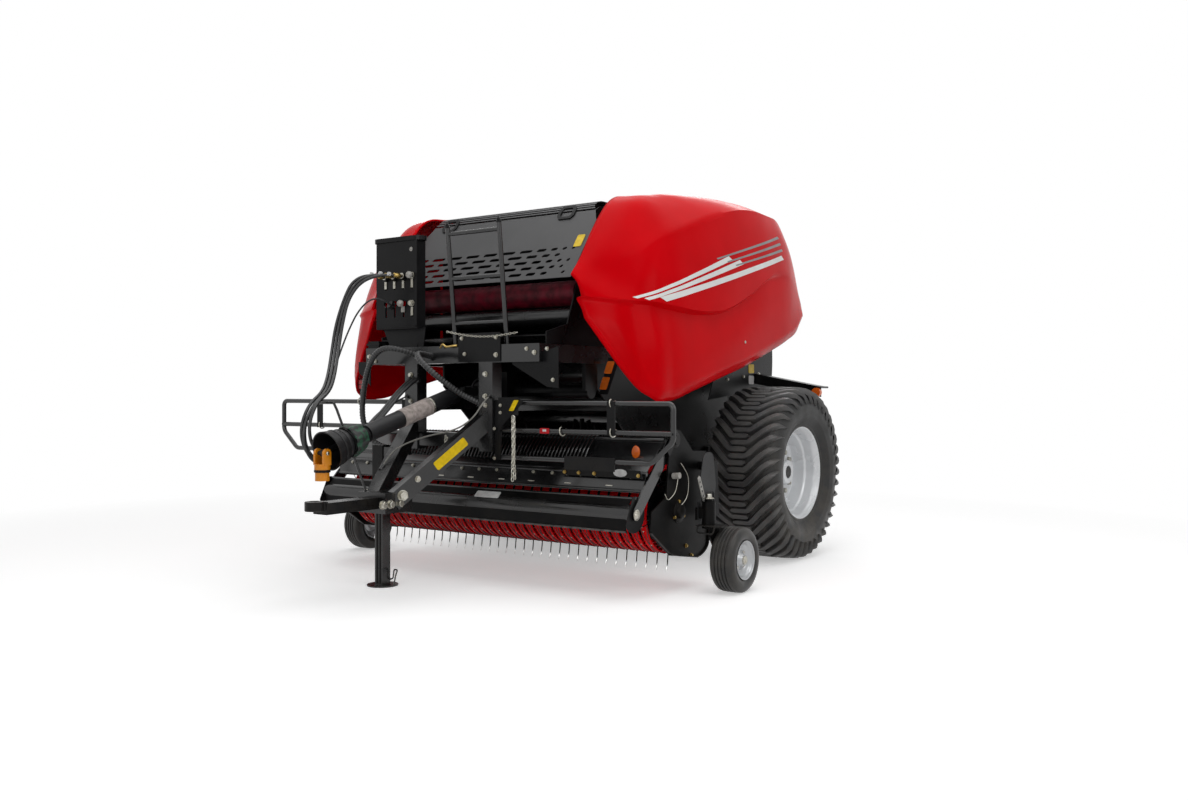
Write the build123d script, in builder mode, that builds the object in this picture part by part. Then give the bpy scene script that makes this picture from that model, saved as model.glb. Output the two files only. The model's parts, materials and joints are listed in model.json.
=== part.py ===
"""Fixed-chamber round baler, towed, parked on its jack.  Millimetres.

+Z is up, -Y is the direction of travel and +X is the machine's left.
The origin is on the ground, below the middle of the machine's outline.
"""
import os
from math import cos, hypot, radians, sin, tan

from build123d import *

os.makedirs("parts", exist_ok=True)

# ---------------------------------------------------------------- driving sizes
# Running gear
AXLE_Y = 1054.0           # axle line, behind the origin
TYRE_R = 575.0            # over the lugs
TYRE_W = 500.0
LUG_H = 28.0
RIM_R = 292.0             # bead seat
RIM_WALL = 14.0
HUB_R = 88.0
SPINDLE_R = 38.0
BEAM = 120.0              # axle tube, square
BEAM_DROP = 135.0         # its middle, below the wheel's

# Bale chamber
BALE_R = 625.0
ROLLER_R = 100.0
CHAMBER_W = 1200.0        # between the side walls
TRACK = CHAMBER_W + 960.0     # between the middles of the two main tyres
WALL_T = 12.0
CHAMBER_Y = AXLE_Y + 100.0
CHAMBER_Z = 1360.0
SHELL_R = BALE_R + 2 * ROLLER_R + 25.0     # outside radius of the side walls' round part
SPLIT_Y = CHAMBER_Y + 124.0
SPLIT_GAP = 8.0
HINGE_Y = CHAMBER_Y - 40.0
HINGE_Z = 2268.0

# Front frame, drawbar and hitch
FRONT_Y = AXLE_Y - 1450.0     # front edge of the chamber's side walls
POST_Y = AXLE_Y - 2030.0
POST_D = 80.0
POST_X = 290.0
POST_W = 100.0
POST_BOTTOM = 780.0
BEAM_Z = 1330.0               # middle of the upper front beam
HITCH_Y = AXLE_Y - 2560.0     # bolt through the drawbar's nose
HITCH_Z = 525.0
HOLDER = ((-95, -2600, 560), (-185, -2735, 1020), (-190, -2752, 1056))   # hose holder, y from the axle
HOLDER_R = 7.0
EYE_Y = AXLE_Y - 3045.0
EYE_Z = 540.0
EYE_BORE = 50.0
EYE_WALL = 24.0
JACK_X = -300.0
JACK_Y = AXLE_Y - 2290.0
SLEEVE = 82.0

# Pickup
REEL_Y = AXLE_Y - 1500.0
REEL_Z = 450.0
TINE_R = 335.0
BAND_R = 236.0
PICKUP_W = 2420.0             # over the side plates
PLATE_T = 10.0
LIFT_Y = AXLE_Y - 960.0
LIFT_Z = 700.0
TINE_PITCH = 68.0
TINES = int((PICKUP_W - 40) / TINE_PITCH)
TINE_BARS = 5
GUARD_Y = AXLE_Y - 1540.0     # windguard pivot
GUARD_Z = 850.0
GUARD_ROLLER_Y = AXLE_Y - 1910.0
GUARD_ROLLER_Z = 467.0
GUARD_ROLLER_R = 55.0

# Gauge wheels
GAUGE_X = PICKUP_W / 2 + 250.0
GAUGE_Y = AXLE_Y - 1310.0
GAUGE_R = 182.0
GAUGE_W = 150.0
SWIVEL_X = PICKUP_W / 2 + 135.0
SWIVEL_Y = GAUGE_Y - 90.0

# Clearances
FIT = 0.06                    # radial, of a turning shaft in its bore
GAP = 0.3                     # between faces that meet

SIDES = (("left", 1), ("right", -1))


def save(piece, label):
    piece.part.label = label
    export_step(piece.part, f"parts/{label}.step")


def polar(radius, angle):
    """Offset in Y and Z of a point at an angle above the rearward direction."""
    return radius * cos(radians(angle)), radius * sin(radians(angle))


def side_plane(x):
    """Plane across the machine: its x is +Y, its y is +Z and its normal +X."""
    return Plane(origin=(x, 0, 0), x_dir=(0, 1, 0), z_dir=(1, 0, 0))


# ---------------------------------------------------------------- main wheels
LUGS = 40                 # on each half of the tread
LUG_W = 36.0
LUG_DEPTH = 71.0          # from the lug's top into the carcass
LUG_LEAN = 24.0           # of a lug from straight across, in degrees
tyre_section = (
    # radius, distance from the tyre's middle plane, as shares of the section
    (0.00, 0.345),
    (0.085, 0.362),
    (0.12, 0.43),
    (0.25, 0.50),
    (0.60, 0.50),
    (0.88, 0.45),
    (1.00, 0.38),
)


def lug_planes(middle):
    """Planes at the lugs' middles: x along the lug, z away from the axle line."""
    found = []
    for half in (1, -1):
        for i in range(LUGS):
            angle = 360 / LUGS * (i + (half > 0) / 2)
            out_y, out_z = polar(1, angle)
            across, along = polar(1, LUG_LEAN)
            centre = TYRE_R - 5 - LUG_DEPTH / 2
            found.append(
                Plane(
                    origin=(middle + half * 0.20 * TYRE_W, AXLE_Y + centre * out_y, TYRE_R + centre * out_z),
                    x_dir=(half * across, along * out_z, -along * out_y),
                    z_dir=(0, out_y, out_z),
                )
            )
    return found


for side, s in SIDES:
    middle = s * TRACK / 2
    wall = TYRE_R - LUG_H - RIM_R
    outline = [(middle + k * TYRE_W, AXLE_Y + RIM_R + r * wall) for r, k in tyre_section]
    back = [(middle - k * TYRE_W, AXLE_Y + RIM_R + r * wall) for r, k in reversed(tyre_section)]
    with BuildPart() as tyre:
        with BuildSketch(Plane.XY.offset(TYRE_R)):
            with BuildLine():
                Polyline(*outline, *back, close=True)
            make_face()
        revolve(axis=Axis((0, AXLE_Y, TYRE_R), (1, 0, 0)))
        with Locations(*lug_planes(middle)):
            Box(0.55 * TYRE_W, LUG_W, LUG_DEPTH)
    save(tyre, f"tyre_{side}")

    outer = middle + s * 0.37 * TYRE_W       # plane of the rim's outer lip
    inner = middle - s * 0.40 * TYRE_W
    dish = middle + s * 0.02 * TYRE_W        # the disc sits deep in the rim
    with BuildPart() as rim:
        with BuildSketch(Plane.XY.offset(TYRE_R)):
            with BuildLine():
                Polyline(
                    (inner, AXLE_Y + RIM_R - RIM_WALL),
                    (outer + s * 10, AXLE_Y + RIM_R - RIM_WALL),
                    (outer + s * 10, AXLE_Y + RIM_R + 19),
                    (outer, AXLE_Y + RIM_R + 19),
                    (outer, AXLE_Y + RIM_R - GAP),
                    (inner, AXLE_Y + RIM_R - GAP),
                    close=True,
                )
            make_face()
            with BuildLine():
                Polyline(
                    (dish, AXLE_Y + SPINDLE_R + FIT),
                    (dish, AXLE_Y + RIM_R - RIM_WALL),
                    (dish + s * 14, AXLE_Y + RIM_R - RIM_WALL),
                    (dish + s * 40, AXLE_Y + 0.72 * RIM_R),
                    (dish + s * 40, AXLE_Y + HUB_R),
                    (dish + s * 95, AXLE_Y + HUB_R),
                    (dish + s * 95, AXLE_Y + SPINDLE_R + FIT),
                    close=True,
                )
            make_face()
        revolve(axis=Axis((0, AXLE_Y, TYRE_R), (1, 0, 0)))
    save(rim, f"rim_{side}")

# ---------------------------------------------------------------- axle
with BuildPart() as axle:
    beam_z = TYRE_R - BEAM_DROP
    knuckle_x = CHAMBER_W / 2 + 110
    with Locations((0, AXLE_Y, beam_z)):
        Box(2 * knuckle_x, BEAM, BEAM)
    for side, s in SIDES:
        with BuildSketch(side_plane(s * knuckle_x - 15)):
            with Locations((AXLE_Y, TYRE_R - BEAM_DROP / 2)):
                Rectangle(BEAM + 40, BEAM_DROP + BEAM + 40)
        extrude(amount=30)
        with BuildSketch(side_plane(s * knuckle_x)):
            with Locations((AXLE_Y, TYRE_R)):
                Circle(SPINDLE_R)
        extrude(amount=s * (TRACK / 2 + 0.02 * TYRE_W + 95 - knuckle_x))
        with Locations((s * (CHAMBER_W / 2 + WALL_T + 10), AXLE_Y, TYRE_R - BEAM_DROP / 2 + 40)):
            Box(20, 220, BEAM_DROP + BEAM + 120)
save(axle, "axle")

# ---------------------------------------------------------------- chamber, front half
FRONT_ROLLERS = (90, 110, 130, 150, 170, 190, 210, 250, 270)
TAIL_ROLLERS = (-70, -50, -30, -10, 10, 30, 50, 70)
ROTOR_Y = AXLE_Y - 800.0
ROTOR_Z = 700.0
ROTOR_R = 235.0
ROTOR_SHAFT = 60.0
STUB_R = 28.0
PIN_R = 12.0
PANEL_HINGE_X = CHAMBER_W / 2 + 140.0
PANEL_HINGE_Z = 2270.0
PANEL_HINGES = (AXLE_Y - 1100, AXLE_Y - 150)
ROLLER_CIRCLE = BALE_R + ROLLER_R
TAIL_EYE = (CHAMBER_Y + 280, 2020.0)         # cylinder's eye on the tailgate, y and z
CYL_FOOT = (AXLE_Y - 420, 1200.0)            # cylinder's foot on the front wall, y and z
CYL_X = CHAMBER_W / 2 + 72
CYL_PIN_R = 14.0

for side, s in SIDES:
    with BuildPart() as wall:
        with BuildSketch(side_plane(s * (CHAMBER_W / 2 + WALL_T / 2) - WALL_T / 2)):
            with BuildLine():
                Polyline(
                    (SPLIT_Y - SPLIT_GAP, CHAMBER_Z - SHELL_R + 40),
                    (AXLE_Y - 300, CHAMBER_Z - SHELL_R + 10),
                    (LIFT_Y - 60, LIFT_Z - 110),
                    (LIFT_Y - 120, LIFT_Z + 120),
                    (FRONT_Y, 1150),
                    (FRONT_Y, 2190),
                    (FRONT_Y + 60, 2225),
                    (SPLIT_Y - SPLIT_GAP, 2225),
                    close=True,
                )
            make_face()
            with Locations((ROTOR_Y, ROTOR_Z)):
                Circle(ROTOR_SHAFT + FIT, mode=Mode.SUBTRACT)
            with Locations((LIFT_Y, LIFT_Z)):
                Circle(STUB_R + FIT, mode=Mode.SUBTRACT)
        extrude(amount=WALL_T)
        pin_end = CYL_X + 26
        with Locations((s * (CHAMBER_W / 2 + pin_end) / 2, *CYL_FOOT)):
            Cylinder(CYL_PIN_R, pin_end - CHAMBER_W / 2, rotation=(0, 90, 0))
        for y in PANEL_HINGES:
            with Locations((s * PANEL_HINGE_X, y, PANEL_HINGE_Z)):
                Cylinder(PIN_R, 80, rotation=(90, 0, 0))
            with BuildSketch(Plane(origin=(0, y + 28, 0), x_dir=(1, 0, 0), z_dir=(0, -1, 0))):
                with BuildLine():
                    Polyline(
                        (s * (CHAMBER_W / 2 + WALL_T / 2), PANEL_HINGE_Z - 130),
                        (s * (PANEL_HINGE_X - 30), PANEL_HINGE_Z - 90),
                        (s * (PANEL_HINGE_X + 14), PANEL_HINGE_Z - 14),
                        (s * (PANEL_HINGE_X + 14), PANEL_HINGE_Z + 14),
                        (s * (PANEL_HINGE_X - 14), PANEL_HINGE_Z + 14),
                        (s * (PANEL_HINGE_X - 44), PANEL_HINGE_Z - 50),
                        (s * (CHAMBER_W / 2 + WALL_T / 2), PANEL_HINGE_Z - 50),
                        close=True,
                    )
                make_face()
            extrude(amount=12)
    save(wall, f"chamber_wall_{side}")

# Each roller is a ribbed drum on stubs that end in the walls.
for name, angles in (("front_rollers", FRONT_ROLLERS), ("tail_rollers", TAIL_ROLLERS)):
    with BuildPart() as rollers:
        half = CHAMBER_W / 2 - GAP
        with BuildSketch(side_plane(-half)):
            for angle in angles:
                dy, dz = polar(ROLLER_CIRCLE, angle)
                with Locations((CHAMBER_Y + dy, CHAMBER_Z + dz)):
                    Circle(ROLLER_R)
        extrude(amount=2 * half)
    save(rollers, name)

# ---------------------------------------------------------------- tailgate
ARM_T = 15.0              # hinge arm, outside the wall
ARM_OFF = 6.0             # of the arm from the front wall's face
HINGE_PIN_R = 24.0
BARREL_R = 34.0
ROD_R = 19.0

for side, s in SIDES:
    face = CHAMBER_W / 2
    with BuildPart() as tail_wall:
        with BuildSketch(side_plane(s * (face + WALL_T / 2) - WALL_T / 2)):
            with Locations((CHAMBER_Y, CHAMBER_Z)):
                Circle(SHELL_R)
            with Locations((SPLIT_Y - SHELL_R, CHAMBER_Z)):
                Rectangle(2 * SHELL_R, 3 * SHELL_R, mode=Mode.SUBTRACT)
        extrude(amount=WALL_T)
        arm_x = face + WALL_T + ARM_OFF
        with BuildSketch(side_plane(s * (arm_x + ARM_T / 2) - ARM_T / 2)):
            with BuildLine():
                Polyline(
                    (HINGE_Y - 45, HINGE_Z - 40),
                    (SPLIT_Y + 40, CHAMBER_Z + 560),
                    (TAIL_EYE[0] + 60, TAIL_EYE[1] - 80),
                    (TAIL_EYE[0] + 60, TAIL_EYE[1] + 40),
                    (SPLIT_Y + 110, CHAMBER_Z + 740),
                    (HINGE_Y + 20, HINGE_Z + 50),
                    (HINGE_Y - 40, HINGE_Z + 40),
                    close=True,
                )
            make_face()
            with Locations((HINGE_Y, HINGE_Z)):
                Circle(HINGE_PIN_R + FIT, mode=Mode.SUBTRACT)
        extrude(amount=ARM_T)
        with BuildSketch(side_plane(s * (face + WALL_T + ARM_OFF / 2) - ARM_OFF / 2)):
            with Locations((SPLIT_Y + 110, CHAMBER_Z + 640)):
                Rectangle(110, 110)
        extrude(amount=ARM_OFF)
        stub_end = CYL_X - 20 - 5
        with Locations((s * (arm_x + stub_end) / 2, *TAIL_EYE)):
            Cylinder(CYL_PIN_R, stub_end - arm_x, rotation=(0, 90, 0))
    save(tail_wall, f"tailgate_wall_{side}")

BUMPER_Z = CHAMBER_Z - 420
BUMPER_Y = CHAMBER_Y + SHELL_R - 35
with BuildPart() as tail_cover:
    inside = CHAMBER_W / 2
    with BuildSketch(side_plane(-inside)):
        with Locations((CHAMBER_Y, CHAMBER_Z)):
            Circle(SHELL_R - 4)
            Circle(SHELL_R - 12, mode=Mode.SUBTRACT)
        with Locations((SPLIT_Y - SHELL_R, CHAMBER_Z)):
            Rectangle(2 * SHELL_R, 3 * SHELL_R, mode=Mode.SUBTRACT)
        with BuildLine():
            Polyline(
                (CHAMBER_Y, CHAMBER_Z),
                (CHAMBER_Y + 2 * SHELL_R, CHAMBER_Z - SHELL_R),
                (CHAMBER_Y + 2 * SHELL_R, CHAMBER_Z - 3 * SHELL_R),
                (CHAMBER_Y, CHAMBER_Z - 3 * SHELL_R),
                close=True,
            )
        make_face(mode=Mode.SUBTRACT)
    extrude(amount=2 * inside)
    with Locations((0, BUMPER_Y, BUMPER_Z)):
        Box(CHAMBER_W + 2 * WALL_T + 260, 80, 100)
    for side, s in SIDES:
        with Locations((s * (CHAMBER_W / 2 + WALL_T + 8), BUMPER_Y - 100, BUMPER_Z)):
            Box(16, 200, 140)
save(tail_cover, "tailgate_cover")

with BuildPart() as tail_lamps:
    for side, s in SIDES:
        with Locations((s * (CHAMBER_W / 2 + 60), BUMPER_Y + 40 + 15, BUMPER_Z)):
            Box(150, 30, 80)
save(tail_lamps, "tail_lamps")

stroke_dir = Vector(0, TAIL_EYE[0] - CYL_FOOT[0], TAIL_EYE[1] - CYL_FOOT[1])
reach = stroke_dir.length
along = stroke_dir.normalized()
for side, s in SIDES:
    foot = Vector(s * CYL_X, CYL_FOOT[0], CYL_FOOT[1])
    with BuildPart() as barrel:
        with BuildSketch(Plane(origin=foot + along * 30, z_dir=along)):
            Circle(BARREL_R)
        extrude(amount=0.62 * reach)
        with BuildSketch(Plane(origin=foot + along * 200, z_dir=along)):
            Circle(ROD_R + 1)
        extrude(amount=reach, mode=Mode.SUBTRACT)
        with BuildSketch(side_plane(s * CYL_X - 22)):
            with Locations(CYL_FOOT):
                Circle(36)
        extrude(amount=44)
        with BuildSketch(side_plane(s * CYL_X - 60)):
            with Locations(CYL_FOOT):
                Circle(CYL_PIN_R + FIT)
        extrude(amount=120, mode=Mode.SUBTRACT)
    save(barrel, f"cylinder_{side}")

    with BuildPart() as rod:
        with BuildSketch(Plane(origin=foot + along * 230, z_dir=along)):
            Circle(ROD_R)
        extrude(amount=reach - 230 - 25)
        with BuildSketch(side_plane(s * CYL_X - 20)):
            with Locations(TAIL_EYE):
                Circle(36)
                Circle(CYL_PIN_R + 1, mode=Mode.SUBTRACT)
        extrude(amount=40)
    save(rod, f"cylinder_rod_{side}")

# ---------------------------------------------------------------- hose and cable routes
# They hang under their own weight: x, y from the axle, and z of each corner.
HOSE_D = 18.0
CONDUIT_D = 36.0
CONTROL_D = 10.0
SAFETY_D = 9.0


def corners(*route):
    """A route's corners in the model's frame."""
    return [Vector(x, AXLE_Y + y, z) for x, y, z in route]


hose_runs = (
    corners(
        (-483, -2098, 1800), (-495, -2195, 1816), (-552, -2285, 1776), (-561, -2345, 1666),
        (-573, -2400, 1505), (-533, -2465, 1345), (-440, -2575, 1200), (-318, -2720, 1112),
        (-268, -2855, 1050), (-256, -2925, 920), (-254, -2890, 790), (-260, -2770, 738),
        (-268, -2630, 778), (-266, -2500, 872), (-237, -2360, 1000), (-244, -2220, 1128),
        (-290, -2082, 1185),
    ),
    corners(
        (-410, -2098, 1800), (-422, -2195, 1816), (-508, -2285, 1776), (-542, -2345, 1666),
        (-545, -2400, 1505), (-505, -2465, 1345), (-412, -2575, 1200), (-290, -2720, 1112),
        (-240, -2855, 1042), (-228, -2932, 908), (-226, -2895, 765), (-232, -2770, 713),
        (-240, -2630, 763), (-238, -2500, 864), (-216, -2360, 1000), (-222, -2220, 1128),
        (-262, -2082, 1185),
    ),
    corners(
        (-337, -2098, 1800), (-349, -2195, 1808), (-464, -2285, 1776), (-524, -2345, 1666),
        (-517, -2400, 1505), (-477, -2465, 1345), (-384, -2575, 1200), (-262, -2720, 1112),
        (-212, -2855, 1057), (-200, -2918, 931), (-198, -2886, 812), (-204, -2770, 760),
        (-212, -2630, 791), (-210, -2500, 879), (-195, -2360, 1000), (-200, -2220, 1128),
        (-234, -2082, 1185),
    ),
)
conduit_runs = (
    corners(
        (-235, -2084, 1333), (-280, -2180, 1370), (-400, -2222, 1372), (-520, -2195, 1270),
        (-602, -2160, 1110), (-640, -2135, 950), (-608, -2095, 820), (-495, -2062, 768),
        (-360, -2036, 798),
    ),
    corners(
        (-120, -2084, 1322), (-112, -2190, 1342), (-33, -2283, 1314), (61, -2281, 1236),
        (116, -2171, 1144), (159, -2083, 1085), (218, -2045, 1055),
    ),
)
control_run = corners(
    (-440, -2098, 1640), (-452, -2150, 1672), (-500, -2205, 1665), (-545, -2255, 1590),
    (-566, -2300, 1490), (-568, -2350, 1390), (-545, -2410, 1300), (-500, -2485, 1225),
    (-450, -2570, 1150), (-395, -2650, 1100), (-345, -2735, 1068), (-318, -2812, 1010),
    (-308, -2848, 915), (-305, -2840, 818), (-303, -2775, 748), (-302, -2685, 718),
    (-305, -2585, 737), (-318, -2500, 795), (-342, -2428, 862), (-361, -2350, 925),
    (-366, -2265, 990), (-350, -2175, 1045), (-322, -2082, 1085),
)
safety_run = corners(
    (320, -2082, 1085), (317, -2128, 1052), (290, -2155, 985), (215, -2172, 925),
    (115, -2185, 890), (10, -2210, 872), (-75, -2260, 842), (-122, -2330, 808), (-136, -2395, 762),
    (-137, -2440, 710),
)
# Ends that a collar holds: where the cord ends, its next corner, and its thickness.
box_ends = [(run[0], run[1], HOSE_D) for run in hose_runs] + [(*control_run[:2], CONTROL_D)]
frame_ends = [(run[-1], run[-2], HOSE_D) for run in hose_runs]
frame_ends += [(control_run[-1], control_run[-2], CONTROL_D), (*safety_run[:2], SAFETY_D)]
for run in conduit_runs:
    frame_ends += [(run[0], run[1], CONDUIT_D), (run[-1], run[-2], CONDUIT_D)]

# ---------------------------------------------------------------- front frame
SIDE_BEAM_W = 60.0
with BuildPart() as front_frame:
    rail_x = CHAMBER_W / 2 + WALL_T + SIDE_BEAM_W / 2
    with Locations((0, POST_Y, BEAM_Z)):
        Box(2 * rail_x + SIDE_BEAM_W, POST_D, 100)
    for side, s in SIDES:
        top = BEAM_Z - 50
        with Locations((s * POST_X, POST_Y, (POST_BOTTOM + top) / 2)):
            Box(POST_W, POST_D, top - POST_BOTTOM)
        back = FRONT_Y + 260
        with Locations((s * rail_x, (POST_Y + back) / 2, BEAM_Z)):
            Box(SIDE_BEAM_W, back - POST_Y, 100)
    with Locations((0, POST_Y, POST_BOTTOM + 60)):
        Box(2 * POST_X - POST_W, 60, 80)
    tube_y, tube_z = FRONT_Y + 220, BEAM_Z - 290
    with Locations((0, tube_y, tube_z)):
        Box(CHAMBER_W, 80, 80)
    for side, s in SIDES:
        with Locations((s * POST_X, (POST_Y + tube_y) / 2, tube_z)):
            Box(60, tube_y - POST_Y, 70)
    for end, ahead, size in frame_ends:
        with BuildSketch(Plane(origin=end, z_dir=end - ahead)):
            Circle(size / 2 + 6)
        extrude(amount=35)
save(front_frame, "front_frame")

GEAR_Z = BEAM_Z - 210
GEAR_Y = POST_Y + 470
PTO_Y = GEAR_Y - 110 - 260
JOINT_PIN_R = 10.0
with BuildPart() as gearbox:
    with Locations((0, GEAR_Y, GEAR_Z)):
        Box(230, 220, 230)
    with Locations((0, GEAR_Y, tube_z + 35 + 6)):
        Box(2 * POST_X + 60, 180, 12)
    with Locations((0, GEAR_Y - 110 - 60, GEAR_Z)):
        Cylinder(55, 120, rotation=(90, 0, 0))
    with Locations((0, GEAR_Y - 110 - 150, GEAR_Z)):
        Cylinder(22, 60, rotation=(90, 0, 0))
    with Locations((0, GEAR_Y - 110 - 190, GEAR_Z)):
        Box(60, 40, 60)
    for s in (1, -1):
        with Locations((s * 24, PTO_Y + 35, GEAR_Z)):
            Box(12, 120, 44)
    with Locations((0, PTO_Y, GEAR_Z)):
        Cylinder(JOINT_PIN_R, 60, rotation=(0, 90, 0))
    with Locations(((115 + 660) / 2, GEAR_Y, GEAR_Z)):
        Cylinder(45, 660 - 115, rotation=(0, 90, 0))
    with Locations((660 - 12, GEAR_Y, (GEAR_Z + BEAM_Z - 50) / 2)):
        Box(24, 120, BEAM_Z - 50 - GEAR_Z)
save(gearbox, "gearbox")

# Drawbar: two beams from the posts to the nose, and the nose's two plates.
NOSE_W = 150.0
NOSE_H = 110.0
DRAW_TOP_Z = 985.0
beam_w, beam_h = 70.0, 95.0
with BuildPart() as drawbar:
    for side, s in SIDES:
        start = Vector(s * 70, HITCH_Y - 20, HITCH_Z)
        end = Vector(s * POST_X, POST_Y - POST_D / 2 + 60, DRAW_TOP_Z)
        run = end - start
        with BuildSketch(Plane(origin=start, x_dir=(run.Y, -run.X, 0), z_dir=run.normalized())):
            Rectangle(beam_w, beam_h)
        extrude(amount=run.length)
    split(bisect_by=Plane.XZ.offset(-(POST_Y - POST_D / 2)), keep=Keep.TOP)
    with Locations((0, HITCH_Y, HITCH_Z)):
        Box(NOSE_W + 60, 200, NOSE_H)
    with Locations((0, HITCH_Y - 60, HITCH_Z)):
        Box(NOSE_W - 50, 400, NOSE_H - 50, mode=Mode.SUBTRACT)
    with Locations((JACK_X + SLEEVE / 2 + 37, JACK_Y, 750)):
        Box(74, 70, 100)
    foot, *rise = [Vector(x, AXLE_Y + y, z) for x, y, z in HOLDER]
    for begin, end in zip((foot, rise[0]), rise):
        with BuildSketch(Plane(origin=begin, z_dir=end - begin)):
            Circle(HOLDER_R)
        extrude(amount=(end - begin).length)
        with Locations(end):
            Sphere(HOLDER_R)
    with Locations((rise[-1].X - 60, rise[-1].Y, rise[-1].Z)):
        Cylinder(HOLDER_R, 120, rotation=(0, 90, 0))
    with BuildSketch(Plane(origin=safety_run[-1], z_dir=safety_run[-1] - safety_run[-2])):
        Circle(SAFETY_D / 2 + 6)
    extrude(amount=35)
save(drawbar, "drawbar")

EYE_R = EYE_BORE / 2 + EYE_WALL
with BuildPart() as tow_eye:
    with Locations((0, HITCH_Y - 200, HITCH_Z)):
        Box(NOSE_W - 50, 500, NOSE_H - 50)
    with BuildSketch(Plane.XY.offset(EYE_Z - 22)):
        with BuildLine():
            Polyline(
                (-NOSE_W / 2 + 26, HITCH_Y - 440),
                (-26, EYE_Y),
                (26, EYE_Y),
                (NOSE_W / 2 - 26, HITCH_Y - 440),
                close=True,
            )
        make_face()
        with Locations((0, EYE_Y)):
            Circle(EYE_R)
    extrude(amount=44)
    with Locations((0, EYE_Y, EYE_Z)):
        Hole(EYE_BORE / 2)
save(tow_eye, "tow_eye")

# Jack: a square leg that slides in a sleeve on the drawbar's right beam.
LEG = 62.0
FOOT_R = 90.0
with BuildPart() as jack_sleeve:
    with Locations((JACK_X, JACK_Y, 620)):
        Box(SLEEVE, SLEEVE, 380)
        Box(LEG + 2 * GAP, LEG + 2 * GAP, 400, mode=Mode.SUBTRACT)
save(jack_sleeve, "jack_sleeve")
with BuildPart() as jack_leg:
    with Locations((JACK_X, JACK_Y, 8 + 345)):
        Box(LEG, LEG, 690)
    with Locations((JACK_X, JACK_Y, 4)):
        Cylinder(FOOT_R, 8)
save(jack_leg, "jack_leg")

# ---------------------------------------------------------------- top of the front
HOOD_X = CHAMBER_W / 2 + 80.0
RIDGE_Y = AXLE_Y - 1440.0
RIDGE_Z = 2250.0
LIP_Y = AXLE_Y - 1780.0
LIP_Z = 1762.0
HOOD_HINGE_Y = AXLE_Y - 860.0
SHEET = 8.0
ROD_HINGE_R = 8.0
SLOTS = 8                 # in each of the hood's rows
SLOT_ROWS = 5
SLOT_PITCH = 147.0
SLOT_STEP = 50.0
SLOT_L = 100.0
SLOT_H = 17.0
HANDLES = (-480, 480)

with BuildPart() as top_cover:
    with BuildSketch(side_plane(-(CHAMBER_W / 2 + WALL_T))):
        with BuildLine():
            Polyline(
                (HOOD_HINGE_Y + 18, 2225),
                (SPLIT_Y - SPLIT_GAP, 2225),
                (SPLIT_Y - SPLIT_GAP, 2225 + SHEET),
                (HOOD_HINGE_Y + 18, 2225 + SHEET),
                close=True,
            )
        make_face()
    extrude(amount=CHAMBER_W + 2 * WALL_T)
    for side, s in SIDES:
        with Locations((s * (CHAMBER_W / 2 - 10), HINGE_Y, (2225 + HINGE_Z) / 2)):
            Box(20, 80, HINGE_Z - 2225)
        with Locations((s * (CHAMBER_W / 2 + 16), HINGE_Y, HINGE_Z)):
            Cylinder(HINGE_PIN_R, 72, rotation=(0, 90, 0))
    with Locations((0, HOOD_HINGE_Y, RIDGE_Z)):
        Cylinder(ROD_HINGE_R, CHAMBER_W, rotation=(0, 90, 0))
    for x in (-CHAMBER_W / 2 + 6, 0, CHAMBER_W / 2 - 6):
        with Locations((x, HOOD_HINGE_Y + 14, RIDGE_Z - 10)):
            Box(12, 40, 34)
save(top_cover, "top_cover")

with BuildPart() as hood:
    with BuildSketch(side_plane(-HOOD_X)):
        with BuildLine():
            Polyline(
                (LIP_Y, LIP_Z),
                (RIDGE_Y - 30, RIDGE_Z - 45),
                (RIDGE_Y + 20, RIDGE_Z),
                (HOOD_HINGE_Y - 16, RIDGE_Z),
                (HOOD_HINGE_Y - 16, RIDGE_Z + SHEET),
                (RIDGE_Y + 15, RIDGE_Z + SHEET),
                (RIDGE_Y - 38, RIDGE_Z - 40),
                (LIP_Y - SHEET, LIP_Z),
                close=True,
            )
        make_face()
    extrude(amount=2 * HOOD_X)
    fall = Vector(0, RIDGE_Y - 38 - LIP_Y + SHEET, RIDGE_Z - 40 - LIP_Z).normalized()
    face = Plane(
        origin=Vector(0, LIP_Y - SHEET, LIP_Z) + fall * 125,
        x_dir=(1, 0, 0),
        z_dir=(0, -fall.Z, fall.Y),
    )
    for row in range(SLOT_ROWS):
        shift = SLOT_PITCH / 4 if row % 2 else -SLOT_PITCH / 4
        with BuildSketch(face.offset(30)):
            with Locations((shift, (row - (SLOT_ROWS - 1) / 2) * SLOT_STEP)):
                with GridLocations(SLOT_PITCH, 1, SLOTS, 1):
                    SlotOverall(SLOT_L, SLOT_H)
        extrude(amount=-60, mode=Mode.SUBTRACT)
    for x in HANDLES:
        with Locations((x, RIDGE_Y - 24, RIDGE_Z - 10)):
            Box(150, 84, 50, rotation=(45, 0, 0))
        with Locations((x, RIDGE_Y - 44, RIDGE_Z + 10)):
            Box(122, 56, 50, rotation=(45, 0, 0), mode=Mode.SUBTRACT)
    for x in (-300, 300):
        with BuildSketch(side_plane(x - 40)):
            with Locations((HOOD_HINGE_Y, RIDGE_Z)):
                Circle(ROD_HINGE_R + 6)
            with Locations((HOOD_HINGE_Y - 10, RIDGE_Z + 7)):
                Rectangle(20, 14)
            with Locations((HOOD_HINGE_Y, RIDGE_Z)):
                Circle(ROD_HINGE_R + FIT, mode=Mode.SUBTRACT)
        extrude(amount=80)
save(hood, "hood")

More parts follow.
